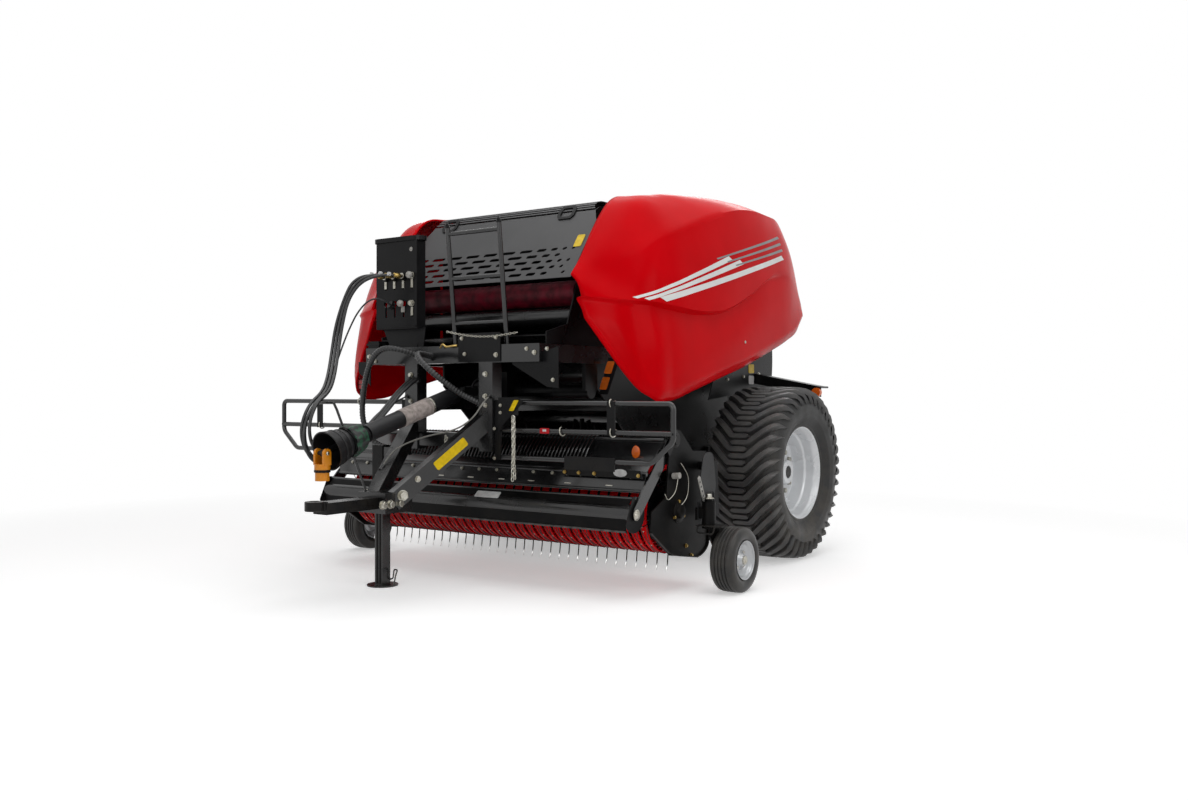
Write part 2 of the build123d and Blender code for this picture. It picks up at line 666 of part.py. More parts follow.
# Net tray between the two cheeks, on the upper front beam.
TRAY_Y = POST_Y + 62.0
TRAY_Z = BEAM_Z + 50 + 50
CHEEK_X = CHAMBER_W / 2 + 40.0
ROLL_Y = AXLE_Y - 1620.0
ROLL_Z = 1688.0
ROLL_R = 75.0
FEED_Y = AXLE_Y - 1655.0
FEED_Z = 1552.0
FEED_R = 52.0
with BuildPart() as net_tray:
    with Locations((0, (TRAY_Y + FRONT_Y) / 2, TRAY_Z)):
        Box(2 * CHEEK_X, FRONT_Y - TRAY_Y, SHEET)
    for side, s in SIDES:
        with BuildSketch(side_plane(s * CHEEK_X - SHEET / 2)):
            with BuildLine():
                Polyline(
                    (TRAY_Y, BEAM_Z + 50),
                    (FRONT_Y, BEAM_Z + 50),
                    (FRONT_Y, 1830),
                    (ROLL_Y - 40, 1790),
                    (FEED_Y - 120, 1500),
                    (TRAY_Y, TRAY_Z + 20),
                    close=True,
                )
            make_face()
            with Locations((ROLL_Y, ROLL_Z), (FEED_Y, FEED_Z)):
                Circle(PIN_R + FIT, mode=Mode.SUBTRACT)
        extrude(amount=SHEET)
save(net_tray, "net_tray")

for name, y, z, radius in (
    ("net_roll", ROLL_Y, ROLL_Z, ROLL_R),
    ("net_feed_roller", FEED_Y, FEED_Z, FEED_R),
):
    with BuildPart() as roll:
        with Locations((0, y, z)):
            Cylinder(radius, 2 * CHEEK_X - 30, rotation=(0, 90, 0))
            Cylinder(PIN_R, 2 * CHEEK_X + 20, rotation=(0, 90, 0))
    save(roll, name)

BOX_X = -0.33 * CHAMBER_W
BOX_W = 340.0
BOX_D = 70.0
BOX_TOP = 2025.0
KEY_PITCH = 73.0          # between the keyholes that hold the couplings
KEY_STEP = 165.0
KEY_Z = 1722.0
KEY_OFF = 22.0
with BuildPart() as hose_box:
    low = 1490.0
    front = POST_Y - 55
    with Locations((BOX_X, front + BOX_D / 2, (low + BOX_TOP) / 2)):
        Box(BOX_W, BOX_D, BOX_TOP - low)
    with Locations((BOX_X, front + BOX_D / 2 + 12, (low + BOX_TOP) / 2)):
        Box(BOX_W - 12, BOX_D, BOX_TOP - low - 12, mode=Mode.SUBTRACT)
    with BuildSketch(Plane(origin=(BOX_X + KEY_OFF, front, KEY_Z), x_dir=(1, 0, 0), z_dir=(0, -1, 0))):
        with GridLocations(KEY_PITCH, KEY_STEP, 4, 2):
            Circle(19)
        with Locations((0, -40)):
            with GridLocations(KEY_PITCH, KEY_STEP, 4, 2):
                Rectangle(14, 80)
    extrude(amount=-14, mode=Mode.SUBTRACT)
    with BuildSketch(Plane(origin=(BOX_X, front + BOX_D, 0), x_dir=(1, 0, 0), z_dir=(0, -1, 0))):
        with BuildLine():
            Polyline(
                (-BOX_W / 2 + 3, low + 3),
                (-BOX_W / 2 + 60, BEAM_Z + 50),
                (BOX_W / 2 - 60, BEAM_Z + 50),
                (BOX_W / 2 - 3, low + 3),
                close=True,
            )
        make_face()
    extrude(amount=12)
    for end, ahead, size in box_ends:
        with BuildSketch(Plane(origin=end, z_dir=end - ahead)):
            Circle(24)
        extrude(amount=24)
save(hose_box, "hose_box")

LADDER_X = (10.0, 395.0)
RUNGS = (0.19, 0.57, 0.945)            # as shares of the height
LADDER_R = 14.0
with BuildPart() as ladder:
    foot_y, foot_z = POST_Y + 24, BEAM_Z + 50
    head_y, head_z = POST_Y - 50, 2060.0
    low_y = foot_y - 0.05 * (head_y - foot_y)
    low_z = foot_z - 0.05 * (head_z - foot_z)
    for x in LADDER_X:
        with BuildSketch(Plane(origin=(x, low_y, low_z), z_dir=(0, head_y - low_y, head_z - low_z))):
            Circle(LADDER_R)
        extrude(amount=hypot(head_y - low_y, head_z - low_z))
    split(bisect_by=Plane.XY.offset(foot_z), keep=Keep.TOP)
    for k in RUNGS:
        y = foot_y + k * (head_y - foot_y)
        z = foot_z + k * (head_z - foot_z)
        with Locations(((LADDER_X[0] + LADDER_X[1]) / 2, y, z)):
            Cylinder(LADDER_R - 2, LADDER_X[1] - LADDER_X[0], rotation=(0, 90, 0))
save(ladder, "ladder")

# Guard rails: a bent outer tube and a straight one, on a post's side.
RAIL_R = 14.0
RAIL_END = 1490.0
RAIL_Z = (1055.0, 903.0, 750.0)
for side, s in SIDES:
    root = s * (POST_X + POST_W / 2)
    end = s * RAIL_END
    with BuildPart() as rail:
        with BuildLine():
            FilletPolyline(
                (root, POST_Y, RAIL_Z[0]),
                (end, POST_Y, RAIL_Z[0]),
                (end, POST_Y, RAIL_Z[1] - 40),
                (end - s * 130, POST_Y, RAIL_Z[2]),
                (root, POST_Y, RAIL_Z[2]),
                radius=[30, 60, 60],
            )
        with BuildSketch(Plane(origin=(root, POST_Y, RAIL_Z[0]), z_dir=(s, 0, 0))):
            Circle(RAIL_R)
        sweep()
        with BuildLine():
            Line((root, POST_Y, RAIL_Z[1]), (end, POST_Y, RAIL_Z[1]))
        with BuildSketch(Plane(origin=(root, POST_Y, RAIL_Z[1]), z_dir=(s, 0, 0))):
            Circle(RAIL_R)
        sweep()
    save(rail, f"guard_rail_{side}")

# Mudguards: a sloping plate behind the top of each tyre, on an arm from the wall.
MUD_Y = AXLE_Y + 360.0
MUD_IN = (CHAMBER_W / 2 + 60, 1262.0)      # x and z of the plate's inner edge
MUD_OUT = (MUD_IN[0] + 602, 1150.0)        # and of its outer edge
for side, s in SIDES:
    with BuildPart() as mudguard:
        for depth, drop in ((110, 8), (8, 72)):
            with BuildSketch(Plane(origin=(0, MUD_Y, 0), x_dir=(1, 0, 0), z_dir=(0, 1, 0))):
                with BuildLine():
                    Polyline(
                        (s * MUD_IN[0], -MUD_IN[1]),
                        (s * MUD_OUT[0], -MUD_OUT[1]),
                        (s * MUD_OUT[0], drop - MUD_OUT[1]),
                        (s * MUD_IN[0], drop - MUD_IN[1]),
                        close=True,
                    )
                make_face()
            extrude(amount=depth)
        with Locations((s * (CHAMBER_W / 2 + WALL_T + 10), AXLE_Y, MUD_IN[1] - 30)):
            Box(20, 200, 60)
        with Locations((s * (CHAMBER_W / 2 + WALL_T + 45), MUD_Y - 130, MUD_IN[1] - 34)):
            Box(50, 560, 60)
    save(mudguard, f"mudguard_{side}")
with BuildPart() as side_lamps:
    for side, s in SIDES:
        with Locations((s * (MUD_OUT[0] - 24), MUD_Y - 17, MUD_OUT[1] - 40)):
            Cylinder(32, 34, rotation=(90, 0, 0))
save(side_lamps, "side_lamps")

# ---------------------------------------------------------------- drive shaft
PTO_SLOPE = 16.5
PTO_LEN = 920.0
CONE_RINGS = (30, 75, 120, 160)        # along the cone, from its narrow end
PTO_BORE_R = 17.5
pto_dir = Vector(0, -cos(radians(PTO_SLOPE)), -sin(radians(PTO_SLOPE)))
pivot = Vector(0, PTO_Y, GEAR_Z)
tip = pivot + pto_dir * (PTO_LEN + 190)
with BuildPart() as pto_tube:
    with BuildSketch(side_plane(-14)):
        with Locations((pivot.Y, pivot.Z)):
            Circle(26)
            Circle(JOINT_PIN_R + FIT, mode=Mode.SUBTRACT)
    extrude(amount=28)
    with BuildSketch(Plane(origin=pivot + pto_dir * 20, z_dir=pto_dir)):
        Circle(13)
    extrude(amount=70)
    with BuildSketch(Plane(origin=pivot + pto_dir * 80, z_dir=pto_dir)):
        Circle(48)
    extrude(amount=PTO_LEN - 200)
    with BuildSketch(Plane(origin=pivot + pto_dir * 300, z_dir=pto_dir)):
        Circle(36 + GAP)
    extrude(amount=PTO_LEN, mode=Mode.SUBTRACT)
save(pto_tube, "pto_tube")
with BuildPart() as pto_cone:
    with BuildSketch(Plane(origin=pivot + pto_dir * 330, z_dir=pto_dir)):
        Circle(36)
    extrude(amount=PTO_LEN - 330)
    with BuildSketch(Plane(origin=pivot + pto_dir * (PTO_LEN - 60), z_dir=pto_dir)):
        Circle(55)
    with BuildSketch(Plane(origin=pivot + pto_dir * (PTO_LEN + 160), z_dir=pto_dir)):
        Circle(105)
    loft()
    for k in CONE_RINGS:
        with BuildSketch(Plane(origin=pivot + pto_dir * (PTO_LEN - 60 + k), z_dir=pto_dir)):
            Circle(59 + 50 * k / 220)
        extrude(amount=9)
    with BuildSketch(Plane(origin=pivot + pto_dir * PTO_LEN, z_dir=pto_dir)):
        Circle(60)
    with BuildSketch(Plane(origin=pivot + pto_dir * (PTO_LEN + 162), z_dir=pto_dir)):
        Circle(99)
    loft(mode=Mode.SUBTRACT)
    with BuildSketch(Plane(origin=pivot + pto_dir * (PTO_LEN - 60), z_dir=pto_dir)):
        Circle(18)
    extrude(amount=255)
    with Locations(tip):
        Cylinder(JOINT_PIN_R, 84, rotation=(0, 90, 0))
save(pto_cone, "pto_cone")
with BuildPart() as pto_yoke:
    for s in (1, -1):
        with BuildSketch(side_plane(s * 33 - 7)):
            with Locations((tip.Y, tip.Z)):
                Circle(24)
            with Locations((tip.Y, tip.Z - 30)):
                Rectangle(48, 60)
            with Locations((tip.Y, tip.Z)):
                Circle(JOINT_PIN_R + FIT, mode=Mode.SUBTRACT)
        extrude(amount=14)
    with Locations((0, tip.Y, tip.Z - 75)):
        Cylinder(40, 40)
    with Locations((0, tip.Y, tip.Z - 110)):
        Cylinder(36, 60)
    with Locations((0, tip.Y, tip.Z - 110)):
        Cylinder(PTO_BORE_R, 120, mode=Mode.SUBTRACT)
save(pto_yoke, "pto_yoke")

# ---------------------------------------------------------------- feed rotor
with BuildPart() as rotor:
    with Locations((0, ROTOR_Y, ROTOR_Z)):
        Cylinder(90, CHAMBER_W - 20, rotation=(0, 90, 0))
        Cylinder(ROTOR_SHAFT, CHAMBER_W + 2 * WALL_T + 20, rotation=(0, 90, 0))
    for i in range(12):
        x = (i - 5.5) * 95
        with BuildSketch(side_plane(x - 6)):
            with Locations((ROTOR_Y, ROTOR_Z)):
                Rectangle(2 * ROTOR_R, 36, rotation=15 * i)
                Rectangle(2 * ROTOR_R, 36, rotation=15 * i + 90)
        extrude(amount=12)
save(rotor, "feed_rotor")

# ---------------------------------------------------------------- pickup
REEL_SHAFT = 25.0
HALF = PICKUP_W / 2
ARM_X = CHAMBER_W / 2 + WALL_T + 6
with BuildPart() as pickup_frame:
    for side, s in SIDES:
        with BuildSketch(side_plane(s * (HALF - PLATE_T / 2) - PLATE_T / 2)):
            with BuildLine():
                Polyline(
                    (REEL_Y - 300, 360),
                    (REEL_Y - 90, 215),
                    (REEL_Y + 220, 165),
                    (REEL_Y + 335, 220),
                    (REEL_Y + 335, 770),
                    (REEL_Y + 160, 780),
                    (GUARD_Y + 60, GUARD_Z + 50),
                    (GUARD_Y - 40, GUARD_Z + 50),
                    (GUARD_Y - 60, GUARD_Z - 50),
                    (REEL_Y - 130, 540),
                    (REEL_Y - 285, 470),
                    close=True,
                )
            make_face()
            with Locations((REEL_Y, REEL_Z)):
                Circle(REEL_SHAFT + FIT, mode=Mode.SUBTRACT)
            with Locations((GUARD_Y, GUARD_Z)):
                Circle(STUB_R + FIT, mode=Mode.SUBTRACT)
        extrude(amount=PLATE_T)
        # lift arm, beside the chamber wall, with its pivot pin
        with BuildSketch(side_plane(s * (ARM_X + 8) - 8)):
            with BuildLine():
                Polyline(
                    (LIFT_Y + 60, LIFT_Z + 60),
                    (LIFT_Y + 60, LIFT_Z - 60),
                    (REEL_Y + 270, 706),
                    (REEL_Y + 270, 772),
                    close=True,
                )
            make_face()
        extrude(amount=16)
        with Locations((s * (CHAMBER_W / 2 + 1.4 * WALL_T), LIFT_Y, LIFT_Z)):
            Cylinder(STUB_R, 3 * WALL_T, rotation=(0, 90, 0))
    with Locations((0, REEL_Y + 295, 732)):
        Box(PICKUP_W - 2 * PLATE_T, 80, 80)
save(pickup_frame, "pickup_frame")

BAND_W = TINE_PITCH - 22
BAND_T = 6.0
BAND_END = 330.0              # the bands' ends, behind the reel's middle
with BuildPart() as bands:
    for i in range(TINES - 1):
        x = (i - (TINES - 2) / 2) * TINE_PITCH
        with BuildSketch(side_plane(x - BAND_W / 2)):
            with Locations((REEL_Y, REEL_Z)):
                Circle(BAND_R)
            with Locations((REEL_Y + BAND_END / 2, REEL_Z)):
                Rectangle(BAND_END, 2 * BAND_R)
            with Locations((REEL_Y, REEL_Z)):
                Circle(BAND_R - BAND_T, mode=Mode.SUBTRACT)
            with Locations((REEL_Y + BAND_END / 2, REEL_Z)):
                Rectangle(BAND_END + 1, 2 * (BAND_R - BAND_T), mode=Mode.SUBTRACT)
        extrude(amount=BAND_W)
    for z in (BAND_R - BAND_T - 15, BAND_T + 15 - BAND_R):
        with Locations((0, REEL_Y + BAND_END - 15, REEL_Z + z)):
            Box(PICKUP_W - 2 * PLATE_T, 30, 30)
save(bands, "pickup_bands")

BAR_R = 150.0
BAR = 28.0
TINE = 6.0
with BuildPart() as reel:
    with Locations((0, REEL_Y, REEL_Z)):
        Cylinder(45, PICKUP_W - 2 * PLATE_T - 30, rotation=(0, 90, 0))
        Cylinder(REEL_SHAFT, PICKUP_W + 30, rotation=(0, 90, 0))
    for x in (-0.46, -0.155, 0.155, 0.46):
        with Locations((x * PICKUP_W, REEL_Y, REEL_Z)):
            Cylinder(BAR_R + 12, 8, rotation=(0, 90, 0))
    for i in range(TINE_BARS):
        angle = 360 / TINE_BARS * i + 20
        dy, dz = polar(BAR_R, angle)
        ty, tz = polar(TINE_R, angle)
        with Locations((0, REEL_Y + dy, REEL_Z + dz)):
            Box(PICKUP_W - 2 * PLATE_T - 60, BAR, BAR, rotation=(angle, 0, 0))
        root = Plane(origin=(0, REEL_Y + dy, REEL_Z + dz), x_dir=(1, 0, 0), z_dir=(0, ty - dy, tz - dz))
        with BuildSketch(root):
            with GridLocations(TINE_PITCH, 1, TINES, 1):
                Rectangle(TINE, TINE)
        extrude(amount=TINE_R - BAR_R)
save(reel, "pickup_reel")

# Windguard: two arms, a plate and the roller in front of the reel.
GUARD_HALF = HALF - PLATE_T - 6
with BuildPart() as windguard:
    for side, s in SIDES:
        with BuildSketch(side_plane(s * (GUARD_HALF - 5) - 5)):
            with BuildLine():
                Polyline(
                    (GUARD_Y - 40, GUARD_Z + 40),
                    (GUARD_Y + 40, GUARD_Z + 40),
                    (GUARD_Y + 40, GUARD_Z - 40),
                    (GUARD_ROLLER_Y + 45, GUARD_ROLLER_Z + 40),
                    (GUARD_ROLLER_Y + 30, GUARD_ROLLER_Z - 50),
                    (GUARD_ROLLER_Y - 30, GUARD_ROLLER_Z - 50),
                    (GUARD_ROLLER_Y - 50, GUARD_ROLLER_Z + 30),
                    close=True,
                )
            make_face()
            with Locations((GUARD_ROLLER_Y, GUARD_ROLLER_Z)):
                Circle(PIN_R + FIT, mode=Mode.SUBTRACT)
        extrude(amount=10)
        with Locations((s * (GUARD_HALF + 8), GUARD_Y, GUARD_Z)):
            Cylinder(STUB_R, 32, rotation=(0, 90, 0))
    with BuildSketch(side_plane(-GUARD_HALF)):
        with BuildLine():
            Polyline(
                (GUARD_ROLLER_Y - 10, GUARD_ROLLER_Z + 73),
                (GUARD_ROLLER_Y + 70, GUARD_ROLLER_Z + 148),
                (GUARD_ROLLER_Y + 70, GUARD_ROLLER_Z + 176),
                (GUARD_ROLLER_Y + 34, GUARD_ROLLER_Z + 176),
                (GUARD_ROLLER_Y + 34, GUARD_ROLLER_Z + 124),
                (GUARD_ROLLER_Y - 10, GUARD_ROLLER_Z + 83),
                (GUARD_ROLLER_Y - 20, GUARD_ROLLER_Z + 83),
                (GUARD_ROLLER_Y - 20, GUARD_ROLLER_Z + 73),
                close=True,
            )
        make_face()
    extrude(amount=2 * GUARD_HALF)
save(windguard, "windguard")
with BuildPart() as guard_roller:
    with Locations((0, GUARD_ROLLER_Y, GUARD_ROLLER_Z)):
        Cylinder(GUARD_ROLLER_R, 2 * GUARD_HALF - 30, rotation=(0, 90, 0))
        Cylinder(PIN_R, 2 * GUARD_HALF, rotation=(0, 90, 0))
save(guard_roller, "windguard_roller")

# ---------------------------------------------------------------- gauge wheels
CROWN_Z = 372.0
PIVOT_R = 22.0
ARM_IN = HALF + 70
AXLE_PIN_R = 12.0
GROOVES = (-0.21, -0.07, 0.07, 0.21)   # across the gauge tyre, as shares of its width
GROOVE = ((-0.025, 0), (-0.015, 9), (0.015, 9), (0.025, 0))
for side, s in SIDES:
    with BuildPart() as arm:
        with BuildSketch(side_plane(s * (ARM_IN + 6) - 6)):
            with BuildLine():
                Polyline(
                    (GAUGE_Y + 20, 720),
                    (GAUGE_Y + 110, 720),
                    (GAUGE_Y + 130, CROWN_Z + 30),
                    (GAUGE_Y - 130, CROWN_Z + 30),
                    (GAUGE_Y - 130, CROWN_Z + 90),
                    (GAUGE_Y + 10, CROWN_Z + 110),
                    close=True,
                )
            make_face()
        extrude(amount=12)
        with Locations((s * (HALF + 35), GAUGE_Y + 65, 690)):
            Cylinder(25, 70, rotation=(0, 90, 0))
        with Locations(((s * (ARM_IN + SWIVEL_X) / 2), SWIVEL_Y, CROWN_Z + 70)):
            Box(SWIVEL_X - ARM_IN, 70, 60)
        with Locations((s * SWIVEL_X, SWIVEL_Y, CROWN_Z + 70)):
            Cylinder(38, 130)
        with Locations((s * SWIVEL_X, SWIVEL_Y, CROWN_Z + 70)):
            Cylinder(PIVOT_R + FIT, 200, mode=Mode.SUBTRACT)
    save(arm, f"gauge_arm_{side}")

    fork_x = s * (GAUGE_X - GAUGE_W / 2 - 14)
    with BuildPart() as fork:
        with Locations((s * SWIVEL_X, SWIVEL_Y, CROWN_Z + 70)):
            Cylinder(PIVOT_R, 170)
        with Locations((s * SWIVEL_X, SWIVEL_Y, CROWN_Z - 8)):
            Cylinder(38, 14)
        with BuildSketch(side_plane(fork_x - 6)):
            with BuildLine():
                Polyline(
                    (SWIVEL_Y - 40, CROWN_Z - 1),
                    (SWIVEL_Y + 60, CROWN_Z - 1),
                    (GAUGE_Y + 30, GAUGE_R),
                    (GAUGE_Y, GAUGE_R - 30),
                    (GAUGE_Y - 30, GAUGE_R),
                    (SWIVEL_Y - 40, CROWN_Z - 60),
                    close=True,
                )
            make_face()
        extrude(amount=12)
        with Locations(((s * SWIVEL_X + fork_x) / 2, SWIVEL_Y + 10, CROWN_Z - 8)):
            Box(abs(fork_x - s * SWIVEL_X) + 12, 100, 14)
        with Locations((s * (GAUGE_X - 20), GAUGE_Y, GAUGE_R)):
            Cylinder(AXLE_PIN_R, GAUGE_W + 20, rotation=(0, 90, 0))
    save(fork, f"gauge_fork_{side}")

    with BuildPart() as gauge_tyre:
        with BuildSketch(Plane.XY.offset(GAUGE_R)):
            with BuildLine():
                Polyline(
                    *[
                        (s * GAUGE_X + k * GAUGE_W, GAUGE_Y + r)
                        for k, r in (
                            (-0.36, 100),
                            (-0.5, 130),
                            (-0.47, 165),
                            (-0.36, GAUGE_R),
                            *[(c + e, GAUGE_R - d) for c in GROOVES for e, d in GROOVE],
                            (0.36, GAUGE_R),
                            (0.47, 165),
                            (0.5, 130),
                            (0.36, 100),
                        )
                    ],
                    close=True,
                )
            make_face()
        revolve(axis=Axis((0, GAUGE_Y, GAUGE_R), (1, 0, 0)))
    save(gauge_tyre, f"gauge_tyre_{side}")
    with BuildPart() as gauge_rim:
        with BuildSketch(Plane.XY.offset(GAUGE_R)):
            with BuildLine():
                x0 = s * GAUGE_X
                Polyline(
                    (x0 - 0.33 * GAUGE_W, GAUGE_Y + AXLE_PIN_R + FIT),
                    (x0 - 0.33 * GAUGE_W, GAUGE_Y + 100 - GAP),
                    (x0 + 0.33 * GAUGE_W, GAUGE_Y + 100 - GAP),
                    (x0 + 0.33 * GAUGE_W, GAUGE_Y + AXLE_PIN_R + FIT),
                    close=True,
                )
            make_face()
        revolve(axis=Axis((0, GAUGE_Y, GAUGE_R), (1, 0, 0)))
    save(gauge_rim, f"gauge_rim_{side}")

# ---------------------------------------------------------------- side panels
PANEL_T = 12.0
panel_stations = (
    # y from the axle, then x and z down the skin: hinge edge, crown, ridge, flank, lip,
    # the fold below the lip, lower flank, bottom edge
    (-1880, (745, 1770), (762, 1752), (785, 1728), (800, 1690), (815, 1640), (812, 1622), (845, 1570), (862, 1520)),
    (-1800, (740, 1853), (795, 1825), (850, 1765), (930, 1690), (1010, 1620), (1000, 1598), (1045, 1400), (1075, 1210)),
    (-1680, (738, 2025), (890, 1975), (1010, 1875), (1080, 1750), (1128, 1612), (1110, 1588), (1150, 1350), (1168, 1082)),
    (-1500, (742, 2228), (930, 2180), (1090, 1990), (1150, 1800), (1178, 1598), (1152, 1572), (1182, 1350), (1180, 1066)),
    (-1250, (755, 2290), (950, 2270), (1128, 2085), (1180, 1850), (1202, 1583), (1172, 1555), (1195, 1350), (1186, 1120)),
    (-950, (765, 2330), (960, 2320), (1147, 2180), (1195, 1900), (1212, 1608), (1184, 1578), (1200, 1380), (1188, 1192)),
    (-600, (770, 2348), (970, 2346), (1148, 2262), (1195, 1990), (1200, 1722), (1184, 1690), (1195, 1500), (1180, 1270)),
    (-250, (775, 2343), (970, 2343), (1128, 2278), (1180, 2060), (1184, 1870), (1180, 1845), (1180, 1600), (1165, 1362)),
    (100, (790, 2290), (960, 2286), (1075, 2238), (1130, 2090), (1150, 1900), (1150, 1870), (1155, 1650), (1148, 1462)),
    (300, (830, 2130), (950, 2120), (1040, 2070), (1085, 1970), (1105, 1850), (1110, 1810), (1120, 1680), (1130, 1532)),
    (420, (900, 1850), (960, 1840), (1030, 1815), (1065, 1780), (1085, 1740), (1090, 1710), (1100, 1660), (1105, 1600)),
)


def panel_ring(points, s):
    """Closed ring across one station: down the outer skin and back up the inner one."""
    t = PANEL_T
    inner = [(x - t, z - (t if i < 3 else 0)) for i, (x, z) in enumerate(points)]
    return [(s * x, z) for x, z in [*points, *reversed(inner)]]


def panel_top(y):
    """Height of the panel's hinge edge at y."""
    for (ya, a, *_), (yb, b, *_) in zip(panel_stations, panel_stations[1:]):
        if ya <= y <= yb:
            return a[1] + (y - ya) / (yb - ya) * (b[1] - a[1])


for side, s in SIDES:
    with BuildPart() as panel:
        for y, *points in panel_stations:
            with BuildSketch(Plane(origin=(0, AXLE_Y + y, 0), x_dir=(1, 0, 0), z_dir=(0, -1, 0))):
                with BuildLine():
                    Polyline(*panel_ring(points, s), close=True)
                make_face()
        loft(ruled=True)
        for y in PANEL_HINGES:
            root = panel_top(y - AXLE_Y) - PANEL_T / 2
            with BuildSketch(Plane(origin=(0, y - 6, 0), x_dir=(1, 0, 0), z_dir=(0, -1, 0))):
                with BuildLine():
                    Polyline(
                        (s * (PANEL_HINGE_X - 22), PANEL_HINGE_Z - 22),
                        (s * (PANEL_HINGE_X + 22), PANEL_HINGE_Z - 22),
                        (s * (PANEL_HINGE_X + 110), root),
                        (s * (PANEL_HINGE_X + 34), root),
                        (s * (PANEL_HINGE_X - 22), PANEL_HINGE_Z + 22),
                        close=True,
                    )
                make_face()
                with Locations((s * PANEL_HINGE_X, PANEL_HINGE_Z)):
                    Circle(PIN_R + FIT, mode=Mode.SUBTRACT)
            extrude(amount=12)
    save(panel, f"side_panel_{side}")

# ---------------------------------------------------------------- hoses and cables
def bends(points):
    """Radius at each corner: as wide as the shorter of its two runs allows."""
    found = []
    for a, b, c in zip(points, points[1:], points[2:]):
        turn = radians((b - a).get_angle(c - b))
        found.append(0.45 * min((b - a).length, (c - b).length) / tan(turn / 2))
    return found


for label, routes, size in (
    ("hose_lines", hose_runs, HOSE_D),
    ("hose_conduits", conduit_runs, CONDUIT_D),
    ("cable_control", (control_run,), CONTROL_D),
    ("cable_safety", (safety_run,), SAFETY_D),
):
    with BuildPart() as cords:
        for points in routes:
            radii = bends(points)
            print(label, "bends", [round(r) for r in radii])
            with BuildLine():
                FilletPolyline(*points, radius=radii)
            with BuildSketch(Plane(origin=points[0], z_dir=points[1] - points[0])):
                Circle(size / 2)
            sweep()
    save(cords, label)
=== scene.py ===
"""Towed round baler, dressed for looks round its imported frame.

Each section makes one piece, or one group of like pieces, with its sizes,
surface, finish and the body that it rides on.  Metres throughout, except
where a helper says millimetres.
"""
import json

import bmesh
import bpy
import mathutils
import numpy as np
from mathutils.geometry import delaunay_2d_cdt
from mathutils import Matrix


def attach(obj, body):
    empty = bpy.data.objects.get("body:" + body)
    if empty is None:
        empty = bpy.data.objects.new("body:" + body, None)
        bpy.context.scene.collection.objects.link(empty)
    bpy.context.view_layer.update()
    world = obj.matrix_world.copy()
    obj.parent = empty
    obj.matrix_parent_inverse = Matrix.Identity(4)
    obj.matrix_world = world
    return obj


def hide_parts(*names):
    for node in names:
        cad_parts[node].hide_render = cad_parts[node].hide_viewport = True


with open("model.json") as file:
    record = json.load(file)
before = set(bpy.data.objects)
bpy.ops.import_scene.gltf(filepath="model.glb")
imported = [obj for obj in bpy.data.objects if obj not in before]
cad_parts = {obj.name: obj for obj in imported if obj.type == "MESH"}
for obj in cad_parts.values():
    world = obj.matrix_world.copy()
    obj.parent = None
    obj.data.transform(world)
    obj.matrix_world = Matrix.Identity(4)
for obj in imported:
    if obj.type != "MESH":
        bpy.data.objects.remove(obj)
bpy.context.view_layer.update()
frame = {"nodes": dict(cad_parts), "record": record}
SIDES = (("left", 1), ("right", -1))

# ---- floor, light and camera
# A matt white floor that runs out to a white background, lit by one broad overhead softbox and
# by strips in front and behind that draw highlights; the camera stands low, near the drawbar.
bpy.context.scene.view_settings.view_transform = "Standard"
MAXIMUM = {"operation": "MAXIMUM"}
RGBA = {"data_type": "RGBA"}


def linear(code):
    """Linear RGBA of an sRGB hex colour such as #A0B0C0."""
    c = np.array([int(code[i : i + 2], 16) for i in (1, 3, 5)]) / 255
    return (*np.where(c <= 0.04045, c / 12.92, ((c + 0.055) / 1.055) ** 2.4), 1.0)


def add(mat, kind, settings=None, **inputs):
    """Adds one node with its settings, and inputs that are either values or outputs to link."""
    node = mat.node_tree.nodes.new("ShaderNode" + kind)
    for key, value in (settings or {}).items():
        setattr(node, key, value)
    for key, value in inputs.items():
        socket = node.inputs[int(key[1:]) if key[1:].isdigit() else key.replace("_", " ")]
        if isinstance(value, bpy.types.NodeSocket):
            mat.node_tree.links.new(value, socket)
        else:
            socket.default_value = value
    return node.outputs


def blank(name):
    """A new material with no nodes in it."""
    mat = bpy.data.materials.new(name)
    mat.use_nodes = True
    mat.node_tree.nodes.clear()
    return mat


def screen_share(mat):
    """1 for camera, glossy and transmission rays, which see the white background, else 0."""
    rays = add(mat, "LightPath")
    both = add(mat, "Math", MAXIMUM, i0=rays["Is Camera Ray"], i1=rays["Is Glossy Ray"])[0]
    return add(mat, "Math", MAXIMUM, i0=both, i1=rays["Is Transmission Ray"])[0]


floor_paint = blank("matt_white_floor")
lit = add(floor_paint, "BsdfDiffuse", Color=linear("#F4F4F4"))[0]
glow = add(floor_paint, "Emission", Color=linear("#FFFFFF"), Strength=0.41)[0]
near = add(floor_paint, "AddShader", i0=lit, i1=glow)[0]
white = add(floor_paint, "Emission", Color=linear("#FFFFFF"), Strength=1.0)[0]
spot = add(floor_paint, "TexCoord")["Object"]
away = add(floor_paint, "VectorMath", {"operation": "LENGTH"}, i0=spot)["Value"]
far = add(floor_paint, "MapRange", Value=away, From_Min=3.0, From_Max=6.0)[0]
backdrop = add(floor_paint, "MixShader", i0=far, i1=near, i2=white)[0]
shown = add(floor_paint, "MixShader", i0=screen_share(floor_paint), i1=lit, i2=backdrop)[0]
add(floor_paint, "OutputMaterial", Surface=shown)
FLOOR = 60.0
floor_mesh = bpy.data.meshes.new("floor")
corners = [(x * FLOOR, y * FLOOR, 0) for x, y in ((-1, -1), (1, -1), (1, 1), (-1, 1))]
floor_mesh.from_pydata(corners, [], [(0, 1, 2, 3)])
floor_mesh.materials.append(floor_paint)
floor = bpy.data.objects.new("floor", floor_mesh)
bpy.context.collection.objects.link(floor)

